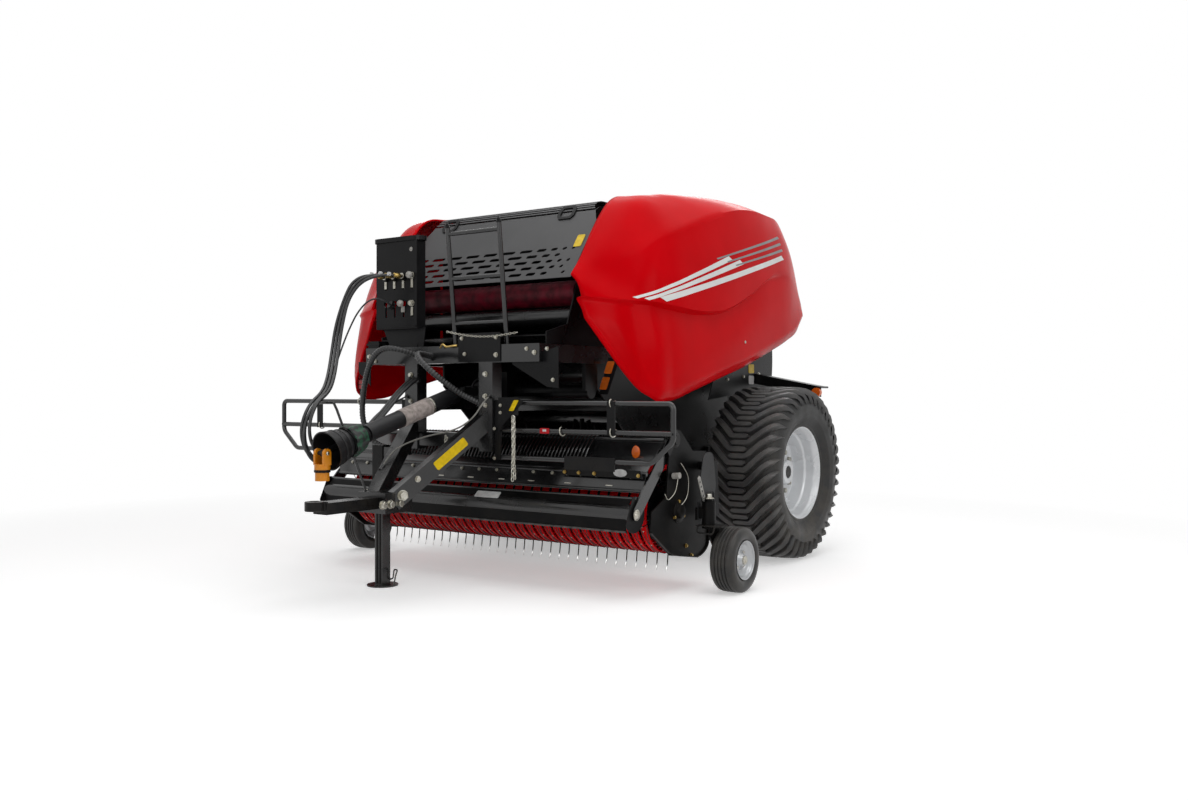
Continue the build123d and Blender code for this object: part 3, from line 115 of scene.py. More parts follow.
world = bpy.data.worlds.new("studio")
bpy.context.scene.world = world
world.use_nodes = True
world.node_tree.nodes.clear()
soft = add(world, "Background", Color=linear("#FFFFFF"), Strength=0.16)[0]
screen = add(world, "Background", Color=linear("#FFFFFF"), Strength=1.0)[0]
shown = add(world, "MixShader", i0=screen_share(world), i1=soft, i2=screen)[0]
add(world, "OutputWorld", Surface=shown)

# name, place, turn in degrees, size and watts
for name, place, turn, size, power in (
    ("overhead_softbox", (0.8, -0.3, 6.5), (0, 4, 0), (8.0, 8.0), 300),
    ("right_softbox", (7.5, -1.0, 4.6), (0, 62, 0), (3.0, 5.0), 105),
    ("front_strip", (1.5, -8.5, 3.2), (72, 0, 8), (5.0, 1.2), 110),
    ("rear_softbox", (-5.0, 6.5, 4.2), (-62, 0, 38), (5.0, 1.6), 80),
    ("ridge_strip", (-0.9, 5.7, 5.1), (-52, 0, 9), (3.0, 0.8), 26),
):
    lamp = bpy.data.lights.new(name, "AREA")
    lamp.shape = "RECTANGLE"
    lamp.size, lamp.size_y = size
    lamp.energy = power
    box = bpy.data.objects.new(name, lamp)
    box.location = place
    box.rotation_euler = np.radians(turn)
    bpy.context.collection.objects.link(box)

lens = bpy.data.cameras.new("camera")
lens.lens = 32.42
lens.sensor_width = 36.0
lens.shift_y = -9 / 1188
camera = bpy.data.objects.new("camera", lens)
camera.location = (4.234, -5.595, 1.12)
camera.rotation_euler = np.radians((90, 0, 34.95))
bpy.context.collection.objects.link(camera)
bpy.context.scene.camera = camera

# ---- hydraulic hoses and cables
# Three rubber hydraulic hoses and a thinner control lead hang from the coupling box, over the
# drawbar's hoop, and back up to the frame; two corrugated sleeves and a safety cable hang near.
AXLE_Y = 1.054


def blotches(mat, size_mm, detail=3.0, seed=0.0):
    """Noise on Object coordinates whose patches are about size_mm across."""
    place = add(mat, "TexCoord")["Object"]
    moved = add(mat, "Mapping", Vector=place, Location=(seed, 1.7 * seed, 0.6 * seed))[0]
    return add(mat, "TexNoise", Vector=moved, Scale=1000 / size_mm, Detail=detail)[0]


def between(mat, value, low, high):
    """Noise stretched so that its middle span runs from low to high."""
    span = {"From_Min": 0.35, "From_Max": 0.65, "To_Min": low, "To_Max": high}
    return add(mat, "MapRange", Value=value, **span)[0]


def finish(mat, **inputs):
    """The material, its surface one Principled shader with these inputs."""
    add(mat, "OutputMaterial", Surface=add(mat, "BsdfPrincipled", **inputs)[0])
    return mat


def coated(
    name, main, worn, rough=(0.3, 0.45), metal=0.0, shine=0.5, skin_mm=3.0, skin=0.1, patch_mm=260,
    dust=0.0,
):
    """A finish of two slowly mixed colours with a fine skin, and dust that gathers low down."""
    mat = blank(name)
    slow = blotches(mat, patch_mm, 5.0, 3.1)
    mixed = between(mat, slow, 0.0, 1.0)
    colour = add(mat, "Mix", RGBA, i0=mixed, i6=linear(main), i7=linear(worn))[2]
    if dust:
        height = add(mat, "SeparateXYZ", Vector=add(mat, "TexCoord")["Object"])["Z"]
        fall = {"From_Min": 1.0, "From_Max": 0.0, "To_Min": 0.0, "To_Max": dust}
        low = add(mat, "MapRange", Value=height, **fall)[0]
        drift = between(mat, blotches(mat, 70, 6.0, 8.3), 0.0, 1.0)
        share = add(mat, "Math", {"operation": "MULTIPLY"}, i0=low, i1=drift)[0]
        colour = add(mat, "Mix", RGBA, i0=share, i6=colour, i7=linear("#85796A"))[2]
    grain = blotches(mat, skin_mm, 2.0, 1.3)
    relief = add(mat, "Bump", Strength=skin, Distance=0.001, Height=grain)[0]
    return finish(
        mat, Base_Color=colour, Roughness=between(mat, slow, *rough), Metallic=metal,
        Specular_IOR_Level=shine, Normal=relief,
    )


hose_rubber = coated(
    "braided_hose_rubber", "#131314", "#1E1E1F", (0.35, 0.5), skin_mm=2, skin=0.3, patch_mm=60
)
sleeve_plastic = coated("corrugated_black_nylon", "#141415", "#1F1F20", (0.3, 0.42), patch_mm=80)
cable_sheath = coated("grey_pvc_cable_sheath", "#8E8C86", "#77756F", (0.4, 0.55), patch_mm=40)


def along_axle(points):
    """Corners in millimetres with y from the axle, in metres in the frame."""
    return np.array(points) / 1000 + np.array((0, AXLE_Y, 0))


def unit(vectors):
    """The vector, or each row of them, at length 1."""
    vectors = np.asarray(vectors, float)
    return vectors / np.linalg.norm(vectors, axis=-1, keepdims=True)


def spline_line(name, points, resolution):
    """Points read from a quadratic NURBS spline that has these corners as its control points."""
    curve = bpy.data.curves.new(name, "CURVE")
    curve.dimensions = "3D"
    curve.resolution_u = resolution
    spline = curve.splines.new("NURBS")
    spline.points.add(len(points) - 1)
    spline.points.foreach_set("co", np.c_[points, np.ones(len(points))].ravel())
    spline.order_u = 3
    spline.use_endpoint_u = True
    guide = bpy.data.objects.new(name, curve)
    bpy.context.collection.objects.link(guide)
    solved = guide.evaluated_get(bpy.context.evaluated_depsgraph_get())
    mesh = bpy.data.meshes.new_from_object(solved)
    found = np.empty(3 * len(mesh.vertices))
    mesh.vertices.foreach_get("co", found)
    bpy.data.meshes.remove(mesh)
    bpy.data.objects.remove(guide)
    bpy.data.curves.remove(curve)
    return found.reshape(-1, 3)


def weave(rows, columns, around=False, ends=False, loop=False):
    """Quads of a grid of rows by columns.  Around joins the last column to the first, loop the
    last row to the first, and ends caps the first and the last row."""
    i, j = np.meshgrid(range(rows - (not loop)), range(columns - (not around)), indexing="ij")
    i, j = i.ravel(), j.ravel()
    m = (j + 1) % columns
    quads = np.c_[i * columns + j, i * columns + m, (i + 1) * columns + m, (i + 1) * columns + j]
    caps = (range(columns), range((rows - 1) * columns, rows * columns)) if ends else ()
    return [*(quads % (rows * columns)).tolist(), *caps]


CREASE = np.radians(40)


def piece_of(name, parts, mat, body="frame", smooth=True, replaces=(), slot=None):
    """One piece from parts, each (points, faces), with its faces turned outwards, on a body."""
    points, faces, start = [], [], 0
    for part_points, part_faces in parts:
        points.append(np.asarray(part_points).reshape(-1, 3))
        faces += [[start + int(k) for k in face] for face in part_faces]
        start += len(points[-1])
    mesh = bpy.data.meshes.new(name)
    mesh.from_pydata(np.concatenate(points).tolist(), [], faces)
    work = bmesh.new()
    work.from_mesh(mesh)
    bmesh.ops.recalc_face_normals(work, faces=work.faces)
    work.to_mesh(mesh)
    work.free()
    mesh.polygons.foreach_set("use_smooth", [smooth] * len(mesh.polygons))
    if smooth:
        mesh.set_sharp_from_angle(angle=CREASE)
    mesh.materials.append(mat)
    piece = bpy.data.objects.new(name, mesh)
    bpy.context.collection.objects.link(piece)
    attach(piece, body)
    if replaces:
        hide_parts(*replaces)
    return piece


def flat_piece(name, parts, mat, body="frame", **more):
    """A piece with no smooth shading."""
    return piece_of(name, parts, mat, body, smooth=False, **more)


def pipe(line, radius, sides=12):
    """A closed tube: rings of the given radii, one or one for each point, square to the line."""
    line = np.asarray(line, float)
    ahead = unit(np.gradient(line, axis=0))
    across = unit(np.cross(ahead, (0.31, 0.17, 0.93)))
    turn = np.linspace(0, 2 * np.pi, sides, endpoint=False)[None, :, None]
    ring = across[:, None] * np.cos(turn) + np.cross(ahead, across)[:, None] * np.sin(turn)
    points = line[:, None] + ring * np.broadcast_to(radius, len(line))[:, None, None]
    return points.reshape(-1, 3), weave(len(line), sides, True, True)


def evenly(line, spacing):
    """The line read again at even steps along it."""
    run = np.r_[0, np.cumsum(np.linalg.norm(np.diff(line, axis=0), axis=1))]
    steps = np.linspace(0, run[-1], max(2, int(run[-1] / spacing)))
    return steps, np.stack([np.interp(steps, run, line[:, k]) for k in range(3)], axis=1)


# piece, node that it replaces, diameter, material, stiffness, and the route's corners
CORDS = (
    ("hose_outer", "hose_lines", 0.018, hose_rubber, "medium", (
        (-483, -2098, 1800), (-495, -2195, 1816), (-552, -2285, 1776), (-561, -2345, 1666),
        (-573, -2400, 1505), (-533, -2465, 1345), (-440, -2575, 1200), (-318, -2720, 1112),
        (-268, -2855, 1050), (-256, -2925, 920), (-254, -2890, 790), (-260, -2770, 738),
        (-268, -2630, 778), (-266, -2500, 872), (-237, -2360, 1000), (-244, -2220, 1128),
        (-290, -2082, 1185),
    )),
    ("hose_middle", "hose_lines", 0.018, hose_rubber, "medium", (
        (-410, -2098, 1800), (-422, -2195, 1816), (-508, -2285, 1776), (-542, -2345, 1666),
        (-545, -2400, 1505), (-505, -2465, 1345), (-412, -2575, 1200), (-290, -2720, 1112),
        (-240, -2855, 1042), (-228, -2932, 908), (-226, -2895, 765), (-232, -2770, 713),
        (-240, -2630, 763), (-238, -2500, 864), (-216, -2360, 1000), (-222, -2220, 1128),
        (-262, -2082, 1185),
    )),
    ("hose_inner", "hose_lines", 0.018, hose_rubber, "medium", (
        (-337, -2098, 1800), (-349, -2195, 1808), (-464, -2285, 1776), (-524, -2345, 1666),
        (-517, -2400, 1505), (-477, -2465, 1345), (-384, -2575, 1200), (-262, -2720, 1112),
        (-212, -2855, 1057), (-200, -2918, 931), (-198, -2886, 812), (-204, -2770, 760),
        (-212, -2630, 791), (-210, -2500, 879), (-195, -2360, 1000), (-200, -2220, 1128),
        (-234, -2082, 1185),
    )),
    ("control_lead", "cable_control", 0.010, hose_rubber, "medium", (
        (-440, -2098, 1640), (-452, -2150, 1672), (-500, -2205, 1665), (-545, -2255, 1590),
        (-566, -2300, 1490), (-568, -2350, 1390), (-545, -2410, 1300), (-500, -2485, 1225),
        (-450, -2570, 1150), (-395, -2650, 1100), (-345, -2735, 1068), (-318, -2812, 1010),
        (-308, -2848, 915), (-305, -2840, 818), (-303, -2775, 748), (-302, -2685, 718),
        (-305, -2585, 737), (-318, -2500, 795), (-342, -2428, 862), (-361, -2350, 925),
        (-366, -2265, 990), (-350, -2175, 1045), (-322, -2082, 1085),
    )),
    ("safety_cable", "cable_safety", 0.009, cable_sheath, "limp", (
        (320, -2082, 1085), (317, -2128, 1052), (290, -2155, 985), (215, -2172, 925),
        (115, -2185, 890), (10, -2210, 872), (-75, -2260, 842), (-122, -2330, 808),
        (-136, -2395, 762), (-137, -2440, 710),
    )),
    ("sleeve_outer", "hose_conduits", 0.036, sleeve_plastic, "limp", (
        (-235, -2084, 1333), (-280, -2180, 1370), (-400, -2222, 1372), (-520, -2195, 1270),
        (-602, -2160, 1110), (-640, -2135, 950), (-608, -2095, 820), (-495, -2062, 768),
        (-360, -2036, 798),
    )),
    ("sleeve_inner", "hose_conduits", 0.036, sleeve_plastic, "limp", (
        (-120, -2084, 1322), (-112, -2190, 1342), (-33, -2283, 1314), (61, -2281, 1236),
        (116, -2171, 1144), (159, -2083, 1085), (218, -2045, 1055),
    )),
)
RIB_PITCH = 0.018
for name, node, thick, mat, stiffness, corners in CORDS:
    route = along_axle(corners)
    swell, stride, spacing, sides = 1.0, 1, 0.012, 14
    if mat is sleeve_plastic:
        stride, sides = 6, 18
        spacing = RIB_PITCH / stride
    steps, line = evenly(spline_line(name, route, 24), spacing)
    if mat is sleeve_plastic:
        swell = 0.92 + 0.08 * np.cos(2 * np.pi * steps / RIB_PITCH)
    cord = piece_of(name, [pipe(line, thick / 2 * swell, sides)], mat, "frame", replaces=[node])

# ---- finishes of the frame's nodes
# Welded and pressed steel, powder coated in satin black; fine orange peel and a little
# field dust that lies thicker low down give the coat its life.
FINISHES = {
    "black_paint": coated(
        "powder_coated_steel", "#0C0C0D", "#161617", (0.24, 0.4), shine=0.14, skin=0.12, dust=0.08
    ),
    "red_panel": coated(
        "gloss_red_gelcoat_panel", "#D6000C", "#CE000A", (0.2, 0.26), shine=0.03, skin_mm=16,
        skin=0.015,
    ),
    "red_steel": coated("red_enamelled_steel", "#EC0410", "#DC040E", (0.25, 0.4), shine=0.06),
    "tyre": coated(
        "field_worn_tyre_rubber", "#1B1B1C", "#242423", (0.42, 0.6), shine=0.35, skin_mm=2,
        skin=0.35, patch_mm=120, dust=0.16,
    ),
    "rim": coated(
        "silver_wheel_paint", "#B9BBBD", "#A3A5A7", (0.28, 0.4), metal=0.45, skin_mm=2, skin=0.05
    ),
    "bare_steel": coated(
        "bale_polished_steel", "#8C8C8E", "#6C6A68", (0.3, 0.5), metal=1.0, patch_mm=90
    ),
    "spring_steel": coated(
        "oil_tempered_spring_wire", "#3A3A3C", "#5E5A56", (0.35, 0.5), metal=1.0, patch_mm=60
    ),
    "net_film": coated(
        "wine_red_net_wrap", "#6A0A20", "#3E0612", (0.35, 0.55), shine=0.2, skin_mm=2, skin=0.4,
        patch_mm=60,
    ),
    "rubber": coated(
        "moulded_roller_rubber", "#0A0A0B", "#131314", (0.16, 0.28), shine=0.2, skin_mm=4
    ),
    "guard_plastic": coated(
        "black_polythene_guard", "#101012", "#1A1A1C", (0.36, 0.48), shine=0.25, dust=0.1
    ),
    "amber_cap": coated("amber_moulded_cap", "#E8920A", "#D07E06", (0.3, 0.42)),
    "orange_lens": coated("orange_lamp_lens", "#F0701A", "#E05E10", (0.12, 0.2), skin=0.02),
    "red_lens": coated("red_lamp_lens", "#A80C10", "#8C080C", (0.12, 0.2), skin=0.02),
}
black_paint = FINISHES["black_paint"]
gloss_black = coated(
    "gloss_black_powder_coat", "#0C0C0D", "#171718", (0.16, 0.3), shine=0.6, patch_mm=300,
    dust=0.04,
)
# Painted shade: a darker, less shiny copy of the black paint for low parts that lie in shade under
# the machine: the pickup's frame, the gauge arms and forks, the cover's lower fold and the sheets
# behind the reel.
shade_darkened_black = coated(
    "shade_darkened_black_paint", "#070708", "#0B0B0C", (0.3, 0.44), shine=0.08, dust=0.03
)
GLOSSY = (
    "front_frame", "guard_rail_left", "guard_rail_right", "drawbar", "front_rollers", "ladder",
    "jack_leg", "windguard_roller", "net_feed_roller",
)
# frame nodes that take the darker black paint as painted shade
SHADE_DARKENED = (
    "pickup_frame", "gauge_arm_left", "gauge_arm_right", "gauge_fork_left", "gauge_fork_right",
)
for part in frame["record"]["subparts"]:
    name = part["node"]
    paint = FINISHES[part["material_slot"]]
    paint = gloss_black if name in GLOSSY else shade_darkened_black if name in SHADE_DARKENED else paint
    slots = frame["nodes"][name].data.materials
    slots.clear()
    slots.append(paint)

# ---- flotation tyres
# Wide low-pressure tyres, 500 mm across: two rows of cranked bars with rounded ends stand on the
# carcass, straight at the middle, slanting outwards, and running down over the shoulder.
TYRE_R = 0.575
TRACK = 2.16
LUGS = 40
# Painted light: the lugs' rubber is a lighter copy of the carcass's rubber, for the lug tops that
# catch the light from above.
lit_lug_rubber = coated(
    "painted_light_lug_rubber", "#3E3E3F", "#4E4D4B", (0.36, 0.55), skin_mm=2, skin=0.3,
    patch_mm=120, dust=0.12,
)


def turned(profile, centre, x0, s, steps=96):
    """Closed ring turned about the wheel's axle: profile of (distance outwards, radius)."""
    out, radius = np.asarray(profile, float).T
    turn = np.linspace(0, 2 * np.pi, steps, endpoint=False)[:, None]
    x = np.broadcast_to(x0 + s * out, (steps, len(out)))
    y, z = centre[0] + radius * np.cos(turn), centre[1] + radius * np.sin(turn)
    points = np.stack((x, y, z), axis=2)
    return np.r_[points.reshape(-1, 3), points[0]], weave(steps + 1, len(out), True)


SEAM = 0.00005


def joined(piece):
    """The piece with its seams merged and its faces turned outwards."""
    work = bmesh.new()
    work.from_mesh(piece.data)
    bmesh.ops.remove_doubles(work, verts=work.verts, dist=SEAM)
    bmesh.ops.recalc_face_normals(work, faces=work.faces)
    work.to_mesh(piece.data)
    work.free()
    return piece


def rounded(points, radius, steps=5):
    """A profile whose corners are eased: a quadratic bend between points near each corner."""
    points = np.asarray(points, float)
    found = [points[:1]]
    for a, b, c in zip(points, points[1:], points[2:]):
        reach = min(radius, 0.45 * np.linalg.norm(b - a), 0.45 * np.linalg.norm(c - b))
        start, end = b + unit(a - b) * reach, b + unit(c - b) * reach
        t = np.linspace(0, 1, steps)[:, None]
        found.append((1 - t) ** 2 * start + 2 * t * (1 - t) * b + t**2 * end)
    return np.concatenate((*found, points[-1:]))


# millimetres from the tyre's middle plane, and radius: bead, sidewall, shoulder, crown
HALF_SECTION = (
    (165, 292), (180, 300), (199, 304), (206, 318), (203, 330), (222, 352), (240, 378),
    (243, 392), (250, 420), (246, 470), (228, 520), (190, 541), (100, 547), (0, 548),
)
half_section = rounded(np.array(HALF_SECTION) / 1000, 0.02)
section = np.r_[half_section, (half_section[:-1] * (-1, 1))[::-1]]
# a lug's middle line in millimetres: from the middle plane, way round, its top's radius, and
# its half width
LUG_LINE = (
    (-60, 0, 574.5, 4), (-50, 0, 574.5, 13.5), (-35, 0, 574.5, 17.5), (50, 0, 574.2, 17.5),
    (66, 6, 574, 17.5), (90, 28, 573.7, 17.5), (150, 86, 571.5, 17.5), (190, 122, 566, 17.2),
    (215, 142, 556, 16.8), (234, 158, 539, 16), (246, 172, 512, 15), (253.5, 184, 480, 13),
    (253.5, 190, 460, 6),
)
# across a lug: share of the half width, and depth below its top in metres
LUG_PROFILE = (
    (-1.45, 0.034), (-1.18, 0.018), (-1.0, 0.005), (-0.82, 0.0), (0.82, 0.0), (1.0, 0.005),
    (1.18, 0.018), (1.45, 0.034),
)


def lugs(x0):
    """All the tyre's lugs: the profile carried along the line, then wrapped round the axle."""
    out, way, top, half = np.array(LUG_LINE).T[:, :, None] / 1000
    share, deep = np.array(LUG_PROFILE).T
    ahead = unit(np.c_[np.gradient(out[:, 0]), np.gradient(way[:, 0])])
    drop = np.clip((TYRE_R - top) / 0.1, 0, 1)
    # over the shoulder the profile leans from straight down to straight inwards
    across = out - ahead[:, 1:] * half * share - deep * 0.9 * drop
    round_it = way + ahead[:, :1] * half * share
    radius = top - deep * (1 - 0.75 * drop)
    faces = weave(*across.shape, ends=True)
    parts = []
    for row in (1, -1):
        for i in range(LUGS):
            angle = 2 * np.pi / LUGS * (i + (row > 0) / 2) - round_it / TYRE_R
            y, z = AXLE_Y + radius * np.cos(angle), TYRE_R + radius * np.sin(angle)
            parts.append((np.stack((x0 + row * across, y, z), axis=2), faces))
    return parts


for side, s in SIDES:
    x0, wheel = s * TRACK / 2, f"wheel_{side}"
    carcass = turned(section, (AXLE_Y, TYRE_R), x0, s, 160)
    name, node = f"flotation_tyre_{side}", f"tyre_{side}"
    joined(piece_of(name, [carcass], FINISHES["tyre"], wheel, replaces=[node], slot="tyre"))
    joined(piece_of(f"tyre_lugs_{side}", lugs(x0), lit_lug_rubber, wheel, slot="tyre"))

# ---- main wheels' rims
# Rolled steel rims, sprayed silver: a bright rolled lip, a stepped bowl, and a deep disc with
# a ring of wheel nuts round the hub, and a short valve.
silver_paint = coated(
    "bright_silver_wheel_paint", "#E6E8EA", "#D6D8DA", (0.24, 0.34), metal=0.12, skin_mm=2,
    skin=0.05,
)
zinc = coated(
    "zinc_plated_steel", "#B9B7AE", "#9C988C", (0.25, 0.4), metal=1.0, patch_mm=20, skin=0.05
)
RIM_PROFILE = (
    (20, 40), (105, 40), (105, 78), (55, 88), (50, 105), (48, 200), (20, 236), (16, 252),
    (60, 256), (100, 262), (108, 272), (165, 278), (186, 290), (193, 310), (198, 312),
    (200, 304), (190, 291.5), (-195, 291.5), (-205, 305), (-208, 300), (-200, 280), (-100, 272),
    (0, 245), (20, 200),
)
rim_profile = rounded(np.array(RIM_PROFILE) / 1000, 0.008, 4)
NUT_CIRCLE, NUT_FLATS, NUT_HEIGHT = 0.135, 0.03, 0.022


def nut(x, y, z, across_flats, height, s=1):
    """A hexagonal nut on an X axis with a chamfered outer face."""
    turn = np.linspace(0, 2 * np.pi, 6, endpoint=False)
    corner = across_flats / 3**0.5
    rings = ((0, corner), (0.8 * height, corner), (height, 0.86 * corner))
    points = [(x + s * h, y + r * np.cos(a), z + r * np.sin(a)) for h, r in rings for a in turn]
    return np.array(points), weave(3, 6, True, True)


for side, s in SIDES:
    x0, wheel = s * TRACK / 2, f"wheel_{side}"
    disc = turned(rim_profile, (AXLE_Y, TYRE_R), x0, s, 128)
    name, node = f"wheel_rim_{side}", f"rim_{side}"
    joined(piece_of(name, [disc], silver_paint, wheel, replaces=[node], slot="rim"))
    turn = np.linspace(0, 2 * np.pi, 10, endpoint=False)
    around = zip(AXLE_Y + NUT_CIRCLE * np.cos(turn), TYRE_R + NUT_CIRCLE * np.sin(turn))
    nuts = [nut(x0 + s * 0.047, y, z, NUT_FLATS, NUT_HEIGHT, s) for y, z in around]
    flat_piece(f"wheel_nuts_{side}", nuts, zinc, wheel)
    stem = np.array(((100, -228, 635), (150, -222, 633))) * (s, 1, 1) + (1000 * x0, 0, 0)
    piece_of(f"valve_{side}", [pipe(along_axle(stem), 0.006, 10)], hose_rubber, wheel)

# ---- hood over the net
# One folded steel sheet, powder coated in dark grey: rows of slots laser cut in its face get
# shorter towards one end, so the net can be watched; two black grips are pressed in its fold.
def slab(outline, low, high, across=0):
    """A prism, in millimetres with y from the axle: the outline, in the plane of the other two
    axes, carried along one axis from low to high."""
    flat = np.asarray(outline, float)
    points = np.concatenate([np.insert(flat, across, v, axis=1) for v in (low, high)])
    return along_axle(points), weave(2, len(flat), True, True)


def block(x0, x1, y0, y1, z0, z1):
    """A square block between these planes, in millimetres with y from the axle."""
    return slab([(x0, z0), (x1, z0), (x1, z1), (x0, z1)], y0, y1, 1)


def lathe(profile, place, ahead, steps=16):
    """A turned form, in millimetres with y from the axle: a profile of (distance, radius) along
    the direction ahead from the place, carried round it and capped at both ends."""
    along, radius = np.asarray(profile, float).T[:, :, None, None]
    ahead = unit(ahead)
    across = unit(np.cross(ahead, (0.31, 0.93, 0.17)))
    turn = np.linspace(0, 2 * np.pi, steps, endpoint=False)[None, :, None]
    ring = across * np.cos(turn) + np.cross(ahead, across) * np.sin(turn)
    points = np.asarray(place, float) + along * ahead + radius * ring
    return along_axle(points.reshape(-1, 3)), weave(len(along), steps, True, True)


def rod(corners, radius, sides=10):
    """A closed tube through corners in millimetres with y from the axle."""
    return pipe(along_axle(corners), np.asarray(radius) / 1000, sides)


def face_out(piece, way):
    """Flips an open skin whose faces look, on the whole, away from the way given."""
    if sum(p.normal.dot(way) for p in piece.data.polygons) < 0:
        piece.data.flip_normals()


def thicken(piece, thickness):
    """Gives an open skin its wall, inwards from its face."""
    wall = piece.modifiers.new("wall", "SOLIDIFY")
    wall.thickness = thickness
    wall.offset = -1


X_AXIS = np.array((1, 0, 0))
HOOD_T = 0.004
# half the sheet's width, how far its rear corners are cut in, and where along it the cut runs
HEM = 678
CORNER = 60
CORNER_RUN = (430, 560)
# the slots' half height, lean, lengths and gap, the rows' height and step, and where they run
SLOT_R, SLOT_LEAN, LONGEST, SHORTEST, GAP = 11, 0.45, 104, 24, 38
ROWS, LOWEST, ROW_STEP, ROW_SHIFT = 5, 42, 46, 70
FIRST_X, LAST_X, SHORTER_FROM = -645, 600, 150
fold = rounded(((-1790, 1764), (-1472, 2212), (-1415, 2253), (-878, 2253)), 70, 7)
fold_run = np.r_[0, np.cumsum(np.linalg.norm(np.diff(fold, axis=0), axis=1))]
side_edge = [(HEM, 0), (HEM, CORNER_RUN[0])]
side_edge += [(HEM - CORNER, CORNER_RUN[1]), (HEM - CORNER, fold_run[-1])]
loops = [[(-HEM, 0), *side_edge, *[(-x, v) for x, v in side_edge[:0:-1]]]]
for row in range(ROWS):
    x, y = FIRST_X + ROW_SHIFT * (row % 2), LOWEST + ROW_STEP * row
    while x < LAST_X:
        long = np.clip(LONGEST - 0.2 * max(0, x - SHORTER_FROM), SHORTEST, LONGEST)
        turn = np.radians(np.r_[np.linspace(-90, 90, 5), np.linspace(90, 270, 5)])
        middle = np.r_[np.full(5, x + long - SLOT_R), np.full(5, x + SLOT_R)]
        rise = SLOT_R * np.sin(turn)
        loops.append(np.c_[middle + SLOT_R * np.cos(turn) + SLOT_LEAN * rise, y + rise].tolist())
        x += long + GAP
flat = [mathutils.Vector(p) for loop in loops for p in loop]
starts = np.cumsum([0] + [len(loop) for loop in loops])
rings = [list(range(a, b)) for a, b in zip(starts, starts[1:])]
# the sheet is bent only along lines of its own, so each bend line is one more edge of the net
bends = fold_run[1:-1]
for v in bends:
    x = HEM - CORNER * np.interp(v, CORNER_RUN, (0, 1))
    flat += [mathutils.Vector((-x, v)), mathutils.Vector((x, v))]
edges = [(starts[-1] + 2 * k, starts[-1] + 2 * k + 1) for k in range(len(bends))]
net, _, cells, *_ = delaunay_2d_cdt(flat, edges, rings, 5, 0.001)
net = np.array([tuple(p) for p in net])
sheet = np.column_stack((net[:, 0], *[np.interp(net[:, 1], fold_run, line) for line in fold.T]))
hood_coat = coated(
    "textured_grey_powder_coat", "#3A3A3B", "#444445", (0.34, 0.46), shine=0.3, skin_mm=2,
    skin=0.15,
)
hood = flat_piece(
    "hood_sheet", [(along_axle(sheet), cells)], hood_coat, "hood", replaces=["hood"],
    slot="black_paint",
)
joined(hood)
face_out(hood, (0, 0, 1))
thicken(hood, HOOD_T)

moulded = coated(
    "moulded_black_polyamide", "#0A0A0B", "#141415", (0.3, 0.42), shine=0.12, skin_mm=2, skin=0.15
)
GRIP = ((-62, -26), (-44, -52), (44, -52), (62, -26), (62, 26), (44, 52), (-44, 52), (-62, 26))
GRIP_RISE = 8
UP_FACE = unit((0, 318, 448))
OUT_OF_FACE = unit((0, -448, 318))
grips = []
for x in (-500, 436):
    middle = np.array((x, -1472, 2212)) - 34 * UP_FACE
    hexagon = np.array([u * X_AXIS + v * UP_FACE for u, v in GRIP])
    rise = GRIP_RISE * OUT_OF_FACE
    rings = (hexagon, hexagon + rise, 0.66 * hexagon + rise, 0.66 * hexagon)
    grips.append((along_axle(middle + np.concatenate(rings)), weave(4, 8, True, loop=True)))
flat_piece("hood_grips", grips, moulded, "hood")
leaf = [(-906, 2243), (-852, 2243), (-846, 2250), (-852, 2264), (-906, 2264)]
flat_piece("hood_hinges", [slab(leaf, x - 40, x + 40) for x in (-300, 300)], moulded, "hood")

# ---- blank labels
# Vinyl labels, left blank: yellow and orange ones with cut corners where a machine has its
# safety pictures.  They are stuck on flat steel: on the drawbar, a post and the hood.
def vinyl(name, code):
    """Smooth printed vinyl film in one ink, a little uneven from the roller."""
    worn = "#" + "".join(f"{int(0.9 * int(code[i : i + 2], 16)):02X}" for i in (1, 3, 5))
    return coated(name, code, worn, (0.3, 0.42), shine=0.3, skin_mm=8, skin=0.03, patch_mm=30)


yellow_vinyl = vinyl("yellow_vinyl_label", "#F4CE00")
orange_vinyl = vinyl("orange_vinyl_label", "#EE7420")
white_vinyl = vinyl("white_vinyl_label", "#E8E8E6")
LABEL_T = 1.2


def label(place, right, up, wide, high, lean=0.0):
    """A thin plate with cut corners, its middle at the place, its face spanned by right and up."""
    right, up = unit(right), unit(up)
    w, h, cut = wide / 2, high / 2, min(wide, high) * 0.12
    corners = ((w - cut, -h), (w, cut - h), (w, h - cut), (w - cut, h))
    outline = ((cut - w, -h), *corners, (cut - w, h), (-w, h - cut), (-w, cut - h))
    face = np.array([(u + lean * v) * right + v * up for u, v in outline]) + place
    points = np.concatenate((face, face + LABEL_T * np.cross(right, up)))
    return along_axle(points), weave(2, 8, True, True)


# the drawbar's left beam: its front end, the way it runs, and the way its outer face looks
BEAM_FOOT = np.array((70, -2580, 525))
BEAM_HALF = 35.3
beam_run = unit((220, 570, 460))
beam_out = unit((570, -220, 0))
on_beam = BEAM_FOOT + 416.38 * beam_run + BEAM_HALF * beam_out
yellow_labels = [
    label(on_beam, beam_run, np.cross(beam_out, beam_run), 230, 52),
    label((497, -2073.5, 1040), X_AXIS, (0.25, 0, 1), 34, 62, 0.35),
]
flat_piece("yellow_labels", yellow_labels, yellow_vinyl)
on_hood = np.array((625, -1791.5, 1765)) + 275 * UP_FACE
flat_piece("hood_label", [label(on_hood, X_AXIS, UP_FACE, 55, 92)], yellow_vinyl, "hood")

# ---- side panels
# Two gull-wing shells, moulded in glass-fibre and painted gloss red: a soft ridge sweeps back
# from the nose, and a crisp lip under it fades out towards the tail.  They hang on top hinges.
STATIONS = (-1880, -1800, -1680, -1500, -1250, -950, -600, -250, 100, 300, 420)
PANEL_Y = AXLE_Y + np.array(STATIONS) / 1000
